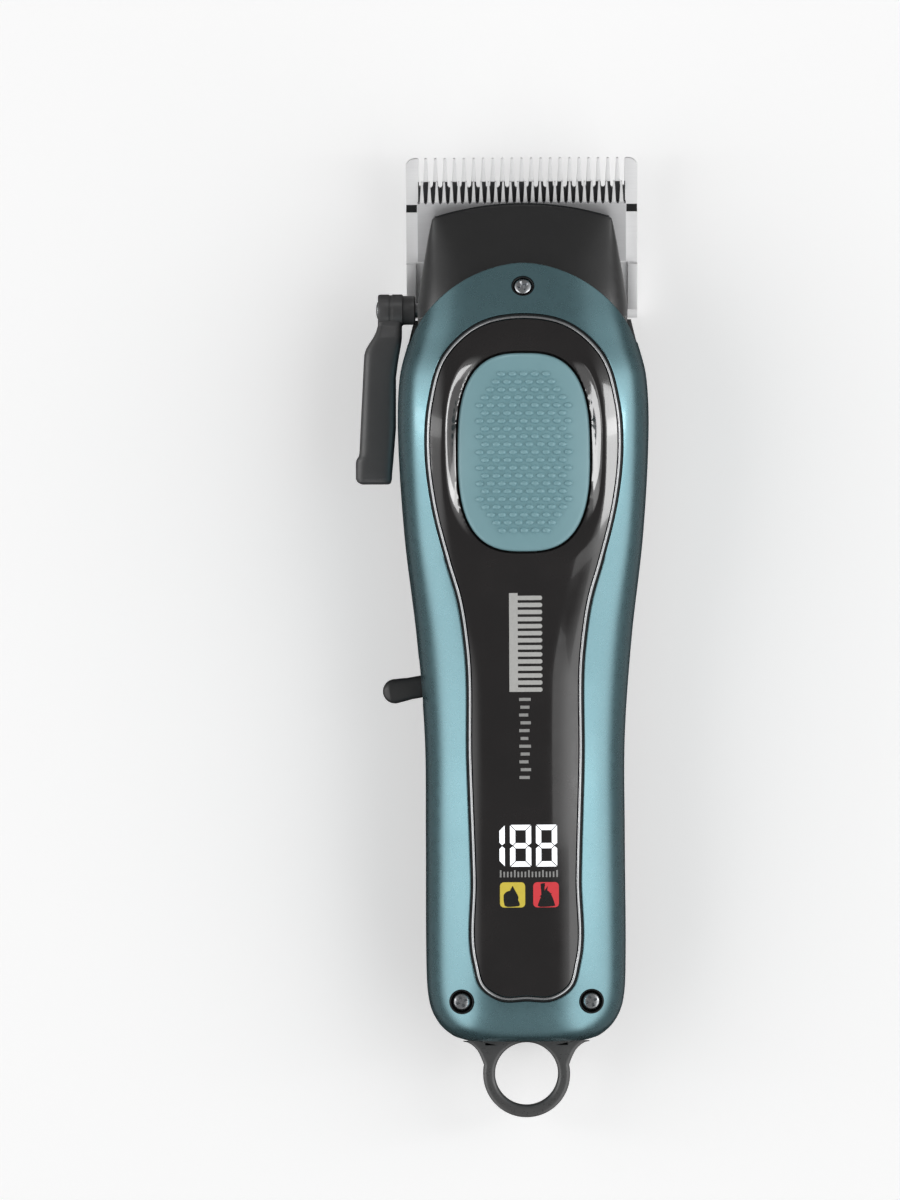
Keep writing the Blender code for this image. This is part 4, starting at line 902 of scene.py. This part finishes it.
def draped(name, outlines, proud=0.035, sunk=0.12):
    """Thin closed tiles that follow the panel's surface, one for each outline, as one object."""
    points, faces = [], []
    for outline in outlines:
        plan = fine_outline(outline)
        first, count = len(points), len(plan)
        surface = panel_z(plan[:, 0], plan[:, 1])
        points += [(x, y, z + proud) for (x, y), z in zip(plan, surface)]
        points += [(x, y, z - sunk) for (x, y), z in zip(plan, surface)]
        faces.append([first + i for i in range(count)])
        faces.append([first + count + i for i in reversed(range(count))])
        for i in range(count):
            j = (i + 1) % count
            faces.append([first + i, first + count + i, first + count + j, first + j])
    return make_object(name, points, faces)


def rectangle(x0, y0, x1, y1, corner=0.0):
    if not corner:
        return [(x0, y0), (x1, y0), (x1, y1), (x0, y1)]
    left, right, low, high = x0 + corner, x1 - corner, y0 + corner, y1 - corner
    points = []
    for quarter, centre in enumerate(((right, low), (right, high), (left, high), (left, low))):
        points += arc(centre, corner, 90 * quarter - 90, 90 * quarter, 6)
    return points


def digit(segments, left, low, width=4.2, height=8.3, stroke=1.05, gap=0.12):
    """The lit segments of one figure, lettered a to g as on any seven-segment display."""
    right, high, middle = left + width, low + height, low + height / 2
    s, h = stroke, stroke / 2

    def level(end, up):
        """The top or bottom segment; up is 1 at the top."""
        inner = end - up * s
        return [(left + gap, end), (right - gap, end), (right - s - gap, inner), (left + s + gap, inner)]

    def upright(x, inward, end, up):
        """A segment at the side, from the end to the middle."""
        inner = x + inward * s
        outside = [(x, end - up * gap), (inner, end - up * (s + gap)), (inner, middle + up * (h + gap))]
        return outside + [(x + inward * h, middle + up * gap), (x, middle + up * h)]

    bar = [(left + h + gap, middle), (left + s + gap, middle + h), (right - s - gap, middle + h)]
    bar += [(right - h - gap, middle), (right - s - gap, middle - h), (left + s + gap, middle - h)]
    shapes = {
        "a": level(high, 1),
        "b": upright(right, -1, high, 1),
        "c": upright(right, -1, low, -1),
        "d": level(low, -1),
        "e": upright(left, 1, low, -1),
        "f": upright(left, 1, high, 1),
        "g": bar,
    }
    return [shapes[name] for name in segments]


def graphic(name, outlines, look, proud=0.035):
    finish(draped(name, outlines, proud), look, sharp=60)


def make_graphics():
    """Lit figures, two lit signs, and a printed comb with a row of marks."""
    low = -45.5
    figures = digit("bc", -8.4, low) + digit("abcdefg", -3.15, low) + digit("abcdefg", 2.0, low)
    graphic("display_digits", figures, "lit_white")

    graphic("sign_oil_tile", [rectangle(-5.2, -53.6, -0.2, -48.6, 0.8)], "lit_yellow")
    graphic("sign_charge_tile", [rectangle(1.4, -53.6, 6.5, -48.6, 0.8)], "lit_red")
    drop = [(-2.7, -49.3)] + arc((-2.7, -51.7), 1.15, 35, -215, 21)
    bolt = [(4.3, -49.4), (2.7, -51.5), (3.7, -51.5), (3.4, -52.9), (5.1, -50.8), (4.1, -50.8)]
    graphic("sign_oil_drop", [drop], "black_and_painted_shade", 0.06)
    graphic("sign_charge_bolt", [bolt], "black_and_painted_shade", 0.06)

    marks = []
    for index, x in enumerate(np.linspace(-5.2, 6.0, 17)):
        marks.append(rectangle(x, -47.6, x + 0.32, -46.5 if index % 4 else -46.2))
    graphic("display_scale", marks, "print_grey")

    back, root, tip, start, end, teeth = -3.1, -1.4, 3.45, -10.8, 8.8, 14
    corner = 0.25
    pitch = (end - start) / teeth
    comb = [(back, end), (back, start), (root, start)]
    for index in range(teeth):
        low, high = start + index * pitch, start + index * pitch + pitch * 0.62
        if index:
            comb += [(root, low)]
        comb += [(tip - corner, low), (tip, low + corner), (tip, high - corner), (tip - corner, high)]
        comb += [(root, high)]
    comb += [(root, end)]
    graphic("comb_pictogram", [comb], "print_white")

    marks = []
    for index in range(11):
        y = -12.6 - 1.55 * index
        left, right = -1.2 + 0.25 * (index % 2), 1.1 - 0.25 * (index % 3)
        marks.append(rectangle(left, y, right, y + 0.6))
    graphic("panel_marks", marks, "print_grey")


# ---------------------------------------------------------------- the button


def crown(x, y):
    """The height of the button's domed top."""
    radius = superellipse_radius(x, y - BUTTON_CENTRE_Y, BUTTON_HALF, BUTTON_POWER)
    return 36.9 - 1.55 * radius**2.4


def make_button():
    outline = superellipse(*BUTTON_HALF, BUTTON_POWER, 0.0, 220)
    rings = [(1.0, 3.9), (1.0, 0.65), (0.998, 0.42), (0.992, 0.22), (0.982, 0.08), (0.968, 0.01)]
    rings += [(share, 0.0) for share in np.linspace(0.95, 0.02, 44)]
    rows = []
    for share, drop in rings:
        plan = outline * share + np.array([0.0, BUTTON_CENTRE_Y])
        rows.append(np.column_stack([plan, crown(plan[:, 0], plan[:, 1]) - drop]))
    rows[0][:, 2] = 31.3
    finish(lofted("button_pad_skin", rows), "teal_satin", "button", nodes=["button_pad"], sharp=50)

    # Rows of small oval bumps, every other row shifted by half a pitch.
    pitch_x, pitch_y, half_x, half_y, rise = 2.2, 1.55, 0.88, 0.60, 0.58
    field = (9.6, 16.2)
    section = ((1.0, -0.08), (0.93, 0.20), (0.75, 0.42), (0.45, 0.54))
    sides = 16
    turn = 2 * math.pi * np.arange(sides) / sides
    points, faces = [], []
    for row in range(-10, 11):
        for column in range(-5, 6):
            x = (column + 0.5 * (row % 2)) * pitch_x
            y = BUTTON_CENTRE_Y + row * pitch_y
            if superellipse_radius(x, y - BUTTON_CENTRE_Y, field, BUTTON_POWER) > 1.0:
                continue
            first = len(points)
            for share, height in section:
                ring_x, ring_y = x + half_x * share * np.cos(turn), y + half_y * share * np.sin(turn)
                points += list(zip(ring_x, ring_y, crown(ring_x, ring_y) + height))
            points.append((x, y, crown(x, y) + rise))
            faces += grid_faces(len(section), sides, wrap_columns=True, first=first)
            faces.append(list(range(first, first + sides)))
            top = len(points) - 1
            last = top - sides
            faces += [[last + i, last + (i + 1) % sides, top] for i in range(sides)]
    finish(make_object("button_grip_bumps", points, faces), "teal_satin", "button", sharp=60)


# ---------------------------------------------------------------- blades


def comb_outline(half_width, tip, root, end, teeth, pitch, tip_width, root_width, wide_ends):
    """A blade's outline with rounded tips and gaps, symmetric about x = 0."""
    first = -(teeth - 1) / 2 * pitch
    if wide_ends:
        inner = first - pitch + root_width / 2
        left = [(-half_width, -end)] + arc((-half_width + 1.9, -tip - 1.9), 1.9, 180, 90, 8)
        left += arc((inner - 0.45, -tip - 0.45), 0.45, 90, 10, 5) + [(inner + 0.02, -root + 0.3)]
    else:
        left = [(-half_width, -end), (-half_width, -root), (first - root_width / 2 - 0.1, -root - 0.12)]
    middle = []
    for index in range(teeth):
        x = first + index * pitch
        middle += [(x - root_width / 2, -root + 0.3)]
        middle += [(x - px, -tip - 0.25 + py) for px, py in arc((0, 0), tip_width / 2, 0, 180, 7)]
        middle += [(x + root_width / 2, -root + 0.3)]
        if index < teeth - 1:
            middle += [(x + pitch / 2 - 0.15, -root - 0.08), (x + pitch / 2 + 0.15, -root - 0.08)]
    return left + middle + [(-x, y) for x, y in reversed(left)]


def fixed_outline(end, tip_width, root_width):
    """The comb blade's outline back to the end, with teeth of the given widths."""
    sizes = (BLADE_HALF_WIDTH, 0.0, FIXED_GAP_DEPTH, end, FIXED_TEETH, FIXED_PITCH)
    return comb_outline(*sizes, tip_width, root_width, wide_ends=True)


def grinder(outline):
    """A long cutter from an outline in the blade's side view: forward of the tips, and up."""
    return plate("grind", [outline], -30, 30, matrix=BLADE_MATRIX @ side_matrix())


def blade_block(name, low, high, bevel=0.0):
    """A block in the blade frame, whatever the order of its two sides."""
    (x0, *low), (x1, *high) = low, high
    return block(name, (min(x0, x1), *low), (max(x0, x1), *high), bevel, BLADE_MATRIX)


def make_fixed_blade():
    outline = fine_outline(fixed_outline(FIXED_LENGTH, 0.52, 1.05), 0.8)
    fixed = plate("fixed_blade_ground", [outline], -FIXED_THICKNESS, 0.0, 0.10, BLADE_MATRIX)
    wedge = [(-11.5, -FIXED_THICKNESS - 0.001), (1.0, -0.35), (1.0, -6.0), (-11.5, -6.0)]
    rails, cutters = [], [grinder(wedge)]
    for side in (-1, 1):
        low, high = (side * RAIL_INNER_X, -RAIL_BACK, -0.5), (side * BLADE_HALF_WIDTH, -RAIL_FRONT, 0.9)
        rails.append(blade_block("rail", low, high, 0.15))
        cutters.append(blade_block("notch", (side * 21.0, -11.2, -4.0), (side * 24.0, -9.6, 2.0)))
        x, back = side * BLADE_SCREW[0], BLADE_SCREW[1]
        cutters.append(blade_rod("hole", x, back, -4, 2, 1.75))
        cutters.append(blade_rod("seat", x, back, -4, -FIXED_THICKNESS + 1.45, 3.0))
    combine(fixed, "UNION", *rails)
    combine(fixed, "DIFFERENCE", *cutters)
    finish(fixed, "blade_steel", nodes=["fixed_blade"], sharp=28)

    # The track that the cutter runs on is near-black steel: painted shade that keeps the gaps between the
    # cutter's teeth dark, not oil.
    outline = fixed_outline(CUTTER_END + 2, 0.56, 1.09)
    track = plate("blade_track_painted_shade", [outline], -1.0, 0.02, 0.0, BLADE_MATRIX)
    low, high = (-20.75, -CUTTER_END + 0.1, -2.0), (20.75, -CUTTER_TIP - 0.25, 2.0)
    combine(track, "INTERSECT", blade_block("under", low, high))
    finish(track, "painted_shade_steel", sharp=28)

    # Black blocks fill the notches in the two edges as painted shade, which keeps them dark from above.
    for side, label in ((-1, "left"), (1, "right")):
        low, high = (side * 20.95, -11.25, -2.0), (side * 23.15, -9.55, -0.12)
        lining = blade_block(f"blade_notch_painted_shade_{label}", low, high, 0.12)
        finish(lining, "black_and_painted_shade")


def make_moving_blade():
    sizes = (CUTTER_HALF_WIDTH, CUTTER_TIP, CUTTER_ROOT, CUTTER_END, CUTTER_TEETH, CUTTER_PITCH)
    outline = comb_outline(*sizes, 0.34, 0.80, wide_ends=False)
    moving = plate("moving_blade_ground", [outline], 0.05, CUTTER_THICKNESS, 0.07, BLADE_MATRIX)
    grind_start = -CUTTER_ROOT + 0.25
    slope = [(grind_start, CUTTER_THICKNESS + 0.001), (-CUTTER_TIP + 1.0, 0.4)]
    slope += [(0.0, 4.0), (grind_start, 4.0)]
    x, back = YOKE_PEG
    holes = [blade_rod("peg_hole", side * x, back, -1, 3, 1.5) for side in (-1, 1)]
    combine(moving, "DIFFERENCE", grinder(slope), *holes)
    finish(moving, "cutter_steel", "cutter", ["moving_blade"], sharp=28)

    # The teeth's top faces get a lighter steel: partly their fresh grind, partly a painted highlight for
    # light that the dim front of the studio leaves out.
    moving.data.materials.append(LOOKS["ground_and_highlight_steel"])
    to_blade = BLADE_MATRIX.inverted()
    for face in moving.data.polygons:
        place, normal = to_blade @ (face.center / MM), to_blade.to_3x3() @ face.normal
        face.material_index = int(place.y > grind_start and normal.z > 0.5)


# ---------------------------------------------------------------- lever, toggle, loop and screws


def soft_bar(name, stations, power=5.0, steps=48, rows=120, matrix=None):
    """A bar along Y: each station gives y, the low and the high x, and the low and the high z."""
    turn = 2 * math.pi * np.arange(steps) / steps
    round_x, round_z = spow(np.cos(turn), 2 / power), spow(np.sin(turn), 2 / power)
    table = np.array(stations, float)
    ys = np.unique(np.concatenate([table[:, 0], np.linspace(table[0, 0], table[-1, 0], rows)]))
    rings = []
    for y in ys:
        x0, x1, z0, z1 = (np.interp(y, table[:, 0], table[:, i]) for i in range(1, 5))
        x = (x0 + x1) / 2 + (x1 - x0) / 2 * round_x
        z = (z0 + z1) / 2 + (z1 - z0) / 2 * round_z
        rings.append(np.stack([x, np.full(steps, y), z], -1))
    return lofted(name, rings, matrix)


def make_taper_lever():
    # Along the arm from its free end to the hub: y, the low and the high x, and half the thickness.
    table = (
        (30.7, -32.2, -27.0, 2.4), (30.85, -32.7, -26.6, 3.0), (31.2, -33.2, -26.4, 3.5),
        (31.8, -33.5, -26.28, 3.8), (33.0, -33.5, -26.2, 4.1), (34.9, -33.5, -26.0, 4.4),
        (35.6, -33.35, -25.93, 4.5), (36.3, -32.9, -25.88, 4.5), (37.0, -32.75, -25.82, 4.5),
        (42.0, -32.5, -25.4, 4.35), (52.0, -31.95, -25.35, 4.0), (55.0, -31.8, -24.95, 3.95),
        (56.6, -31.68, -24.68, 3.9), (57.8, -31.3, -24.45, 3.8), (58.8, -30.7, -24.28, 3.7),
        (60.0, -29.9, -24.12, 3.5), (61.2, -29.3, -24.1, 3.1), (62.4, -28.95, -24.1, 2.5),
        (66.0, -28.9, -24.1, 1.6),
    )
    z = TAPER_AXIS.z
    arm = [(y, low_x, high_x, z - half, z + half) for y, low_x, high_x, half in table]
    lever = soft_bar("taper_lever_arm", arm)
    barrel = ((0.001, 0.0), (2.6, 0.0), (2.9, 0.25), (2.9, 2.35), (3.0, 2.5), (3.2, 2.65), (3.2, 4.6))
    barrel += ((3.05, 4.75), (3.05, 5.2), (3.2, 5.35), (3.2, 7.1), (3.1, 7.35), (2.85, 7.5), (0.001, 7.5))
    start = TAPER_AXIS + Vector((-21.4, 0, 0))
    combine(lever, "UNION", turned("barrel", barrel, start, (-1, 0, 0), 72))
    bore, seat = taper_rod("bore", -27.1, -18, 1.7), taper_rod("seat", -40, -27.8, 2.1)
    combine(lever, "DIFFERENCE", bore, seat, taper_rod("neck", -40, -26, 1.0))
    finish(lever, "black_lever", "taper_arm", ["taper_lever"], sharp=35)


def make_toggle():
    half, neck, length = 2.45, 2.2, TOGGLE_REACH
    arm = [(-1.0, 2.0), (0.0, neck), (length - 5.4, neck), (length - 4.2, 2.32)]
    for turn in np.radians(np.linspace(0, 88, 14)):
        arm.append((length - half + half * math.sin(turn), half * math.cos(turn)))
    stations = []
    for along, width in arm:
        thick = 2.1 * min(1.0, 0.35 + 0.65 * width / neck)
        stations.append((along, -width, width, -thick, thick))
    heading = Matrix.Rotation(math.pi / 2 + TOGGLE_TILT, 4, "Z")
    toggle = soft_bar("power_toggle_bar", stations, 3.0, 48, 60, Matrix.Translation(TOGGLE_AXIS) @ heading)
    x, y = TOGGLE_AXIS.x, TOGGLE_AXIS.y
    out = Vector((-math.cos(TOGGLE_TILT), -math.sin(TOGGLE_TILT), 0.0))
    side = Vector((-out.y, out.x, 0.0))

    def strip(name, outer, inner, half_width, low, high, bevel=0.0):
        """A bar under the wall, between two distances outwards from the pivot."""
        centre, across = Vector((x, y, 0.0)), side * half_width
        start, end = centre + out * outer, centre + out * inner
        corners = (start + across, start - across, end - across, end + across)
        return plate(name, [[(p.x, p.y) for p in corners]], low, high, bevel)

    # Inside, a flat arm with a notch in its end moves the switch's slider.
    boss = rod("boss", (x, y, 12.2), (x, y, 21.1), 2.6)
    combine(toggle, "UNION", boss, strip("arm", 0.0, -SLIDER_REACH - 1.3, 1.5, 19.4, 21.1, 0.1))
    notch = strip("notch", 1 - SLIDER_REACH, -3 - SLIDER_REACH, 0.8, 18.6, 22.0)
    combine(toggle, "DIFFERENCE", notch, rod("bore", (x, y, 11.0), (x, y, 23.0), 1.3))
    finish(toggle, "black_satin", "toggle", nodes=["power_toggle"], sharp=40)

    # A thin plate inside the wall closes the slot around the toggle.
    outlines = [rectangle(-14.6, 12.6, -3.0, 19.3, 0.8), rectangle(-11.9, 13.6, -5.5, 18.4, 0.8)]
    shutter = plate("toggle_slot_plate", outlines, -17.95, -17.65, 0.0, side_matrix())
    finish(shutter, "black_and_painted_shade", sharp=40)


def make_loop():
    inner, outer = LOOP_RADII
    flare = [(12.6, -80.8), (11.7, -81.0), (11.0, -81.4), (10.4, -81.9)]
    flare += [(9.8, -82.6), (9.35, -83.4), (9.0, -84.2)]
    edge = [(9.0, -76.6), (9.0, -80.8), *flare]
    edge += arc((0, LOOP_CENTRE_Y), outer, 12, -192, 90)
    edge += [(-x, y) for x, y in reversed(flare)]
    edge += [(-9.0, -80.8), (-9.0, -76.6)]
    hole = arc((0, LOOP_CENTRE_Y), inner, 0, 356, 90)
    loop = plate("hanging_loop_ring", [edge, hole], *LOOP_Z, 0.75)
    finish(loop, "black_loop", nodes=["hanging_loop"], sharp=35)


def fine_screw(node, seat, axis, head_radius, shank_radius, length, body="root"):
    """A cross-head screw with a domed head, a rounded rim and a tapered cross."""
    head = 1.3
    shares = ((1.0, 0.0), (1.0, 0.5), (0.97, 0.66), (0.9, 0.8))
    rim = [(head_radius * out, head * up) for out, up in shares]
    shares = (0.8, 0.65, 0.5, 0.3, 0.1, 0.0)
    dome = [(head_radius * out, head * (1.0 - 0.2 * (out / 0.9) ** 3)) for out in shares]
    shank = [(0.0, -length), (shank_radius, -length + 1.0), (shank_radius, -0.05)]
    shank += [(shank_radius + 0.1, 0.0)]
    piece = turned(f"{node}_head", shank + rim + dome, seat, axis, 48)
    reach = head_radius * 0.62
    wide = [(-reach, head + 0.5), (-reach, head - 0.1), (-reach * 0.45, head - 0.75)]
    wide += [(-x, y) for x, y in reversed(wide)]
    arms = []
    for spin in (0.4, 0.4 + math.pi / 2):
        matrix = pointing(seat, axis) @ Matrix.Rotation(spin, 4, "Z") @ Matrix.Rotation(math.pi / 2, 4, "X")
        arms.append(plate("cross", [wide], -0.26, 0.26, matrix=matrix))
    combine(piece, "DIFFERENCE", *arms)
    finish(piece, "screw_steel", body, nodes=[node], sharp=35)


def painted_shade_cup(name, seat, axis, radius, depth):
    """The black cup that a case screw sits in: painted shade for the shadowed gap round the screw head."""
    wall = 0.34
    bore = radius - wall
    points = [(0.0, -0.25), (radius - 0.05, -0.25), (radius - 0.05, depth - 0.06), (radius - 0.12, depth)]
    points += [(bore + 0.08, depth), (bore, depth - 0.08), (bore - 0.08, 0.0), (0.0, 0.0)]
    cup = turned(name, points, seat, axis, 56)
    seat, axis = Vector(seat), Vector(axis)
    combine(cup, "DIFFERENCE", rod("shank_hole", seat - axis, seat + axis, 1.25))
    finish(cup, "black_and_painted_shade", sharp=35)


def make_screws():
    cup_floor = 25.7
    for side, label in ((-1, "left"), (1, "right")):
        x, y = side * CASE_SCREW[0], CASE_SCREW[1]
        surface = float(top_z(np.array(x), np.array(y)))
        fine_screw(f"case_screw_{label}", (x, y, 26.1), (0, 0, 1), 1.85, 1.1, 14.0)
        painted_shade_cup(f"painted_shade_cup_{label}", (x, y, cup_floor), (0, 0, 1), 2.5, surface - cup_floor - 0.2)
        x, back = side * BLADE_SCREW[0], BLADE_SCREW[1]
        seat = BLADE_MATRIX @ Vector((x, -back, -FIXED_THICKNESS + 1.3))
        down = BLADE_MATRIX.to_3x3() @ Vector((0, 0, -1))
        fine_screw(f"blade_screw_{label}", seat, down, 2.6, 1.3, 7.0)
    seat, axis = top_screw_seat()
    fine_screw("case_screw_top", seat + axis * 0.08, axis, 1.75, 1.0, 8.0)
    painted_shade_cup("painted_shade_cup_top", seat - axis * 0.3, axis, 2.3, 1.4)
    seat = TAPER_AXIS + Vector((-27.95, 0, 0))
    fine_screw("taper_lever_screw", seat, (-1, 0, 0), 1.8, 0.7, 4.6, "taper_arm")


def dress_nodes():
    """Every CAD node that still shows gets the procedural material of its slot."""
    slots = {part["node"]: part["material_slot"] for part in frame["record"]["subparts"]}
    for name, node in NODES.items():
        if not node.hide_render:
            node.data.materials.clear()
            node.data.materials.append(LOOKS[slots[name]])


# ---------------------------------------------------------------- floor, light and camera


def make_floor():
    size = 3000.0
    corners = [(x, y, -0.02) for x, y in rectangle(-size, -size, size, size)]
    floor = make_object("floor", corners, [[0, 1, 2, 3]])
    glow = {"Emission_Color": (1.0, 1.0, 1.0, 1.0), "Emission_Strength": 0.34}
    look = Look("pale_floor", (0.90, 0.90, 0.90), 0.7, **glow)
    look.tint(look.noise(300.0), (0.88, 0.88, 0.88), 0.4, 0.7, 0.5)
    floor.data.materials.append(look.material)
    floor.visible_glossy = False


def softbox(name, place, size, level, aim=(0.0, 0.0, 15.0), gloss_only=False, only_on=()):
    """A rectangular light; the level is its face's brightness. Flags can keep it to some pieces."""
    light = bpy.data.lights.new(name, "AREA")
    light.shape = "RECTANGLE"
    light.size, light.size_y = size[0] * MM, size[1] * MM
    light.energy = level * math.pi * light.size * light.size_y
    lamp = bpy.data.objects.new(name, light)
    lamp.location = Vector(place) * MM
    lamp.rotation_mode = "QUATERNION"
    lamp.rotation_quaternion = (Vector(place) - Vector(aim)).to_track_quat("Z", "Y")
    lamp.visible_diffuse = not gloss_only
    bpy.context.scene.collection.objects.link(lamp)
    if only_on:
        flagged = bpy.data.collections.new(name + "_only_on")
        for piece in only_on:
            flagged.objects.link(bpy.data.objects[piece])
        lamp.light_linking.receiver_collection = flagged


def make_world():
    """A studio with a dark strip overhead from front to back, and bright walls to the left and right."""
    world = bpy.data.worlds.new("studio")
    world.use_nodes = True
    tree = world.node_tree

    def math_node(operation, *values):
        made = tree.nodes.new("ShaderNodeMath")
        made.operation = operation
        for socket, value in zip(made.inputs, values):
            if isinstance(value, bpy.types.NodeSocket):
                tree.links.new(value, socket)
            else:
                socket.default_value = value
        return made.outputs[0]

    def spread(value, low, high, out_low, out_high):
        made = tree.nodes.new("ShaderNodeMapRange")
        made.interpolation_type = "SMOOTHSTEP"
        tree.links.new(value, made.inputs["Value"])
        limits = {"From Min": low, "From Max": high, "To Min": out_low, "To Max": out_high}
        for socket, number in limits.items():
            made.inputs[socket].default_value = number
        return made.outputs["Result"]

    coordinates = tree.nodes.new("ShaderNodeTexCoord")
    split = tree.nodes.new("ShaderNodeSeparateXYZ")
    tree.links.new(coordinates.outputs["Generated"], split.inputs[0])
    side, along, height = split.outputs
    right = spread(side, *RIGHT_WALL[:2], 0.0, RIGHT_WALL[2])
    left = spread(math_node("MULTIPLY", side, -1.0), *LEFT_WALL[:2], 0.0, LEFT_WALL[2])
    fading = spread(along, 0.15, 0.75, 1.0, FRONT_SHARE)
    walls = math_node("MULTIPLY", math_node("ADD", left, right), fading)
    walls = math_node("ADD", walls, spread(math_node("MULTIPLY", along, -1.0), 0.35, 0.60, 0.0, BACK_GLOW))
    above = spread(height, -0.32, 0.14, BELOW, 1.0)
    level = math_node("MULTIPLY", math_node("ADD", walls, DARK_STRIP), above)
    background = tree.nodes["Background"]
    tree.links.new(level, background.inputs["Strength"])
    background.inputs["Color"].default_value = (1.0, 1.0, 1.0, 1.0)
    bpy.context.scene.world = world


def make_lights():
    """Two lights for everything, and small ones for single pieces."""
    softbox("right_box", (567, 52, 475), (75, 480), 4.0)
    softbox("left_strip", (-620, 60, 400), (90, 900), 2.0)
    hub = (-26, 65, 15)
    head = (0, 75, 25)
    mirrored = {
        "front_panel_surface": (
            ("dish_glow_right", (168, 36, 200), (116, 130), 8.5, (168, 36, 0)),
            ("dish_glow_left", (-300, 36, 175), (110, 150), 8.6, (0, 36, 40)),
            ("dish_glow_middle", (140, -39, 200), (190, 20), 1.1, (140, -39, 0)),
            ("dish_glow_low", (170, -110, 200), (150, 122), 0.9, (170, -110, 0)),
        ),
        "head_cover_surface": (
            ("cover_glow-1", (-290, 170, 70), (150, 150), 1.5, head),
            ("cover_glow1", (290, 170, 70), (150, 150), 1.5, head),
        ),
        "taper_lever_arm": (
            ("hub_glow_front", (-26, 250, 200), (60, 50), 3.0, hub),
            ("hub_glow_back", (-26, -220, 150), (60, 60), 2.5, hub),
        ),
    }
    for piece, lights in mirrored.items():
        for light in lights:
            softbox(*light, gloss_only=True, only_on=[piece])
    blades = ["fixed_blade_ground", "moving_blade_ground"]
    softbox("blade_glow", (0, -110, 370), (320, 320), 0.75, (0, 85, 10), True, blades)
    button = ["button_pad_skin", "button_grip_bumps"]
    softbox("button_key", (-40, 330, 240), (50, 50), 16.0, (0, 36, 36), only_on=button)


def make_camera():
    """Straight down, with a long lens so that the sides stay parallel."""
    lens, sensor, view_height = 300.0, 36.0, 240.0
    distance = view_height * lens / sensor
    data = bpy.data.cameras.new("camera")
    data.lens = lens
    data.sensor_width = sensor
    data.clip_start, data.clip_end = 0.1, 20.0
    camera = bpy.data.objects.new("camera", data)
    camera.location = Vector((-14.8, 7.5, 16.0 + distance)) * MM
    camera.rotation_euler = (0.0, 0.0, -0.0055)
    bpy.context.scene.collection.objects.link(camera)
    bpy.context.scene.camera = camera


make_camera()
make_world()
make_floor()
LOOKS = make_looks()
make_front_shell()
make_rear_housing()
make_head_cover()
make_panel()
make_graphics()
make_button()
make_fixed_blade()
make_moving_blade()
make_taper_lever()
make_toggle()
make_loop()
make_screws()
dress_nodes()
make_lights()
bpy.context.scene.view_settings.view_transform = "Standard"

bpy.context.view_layer.update()
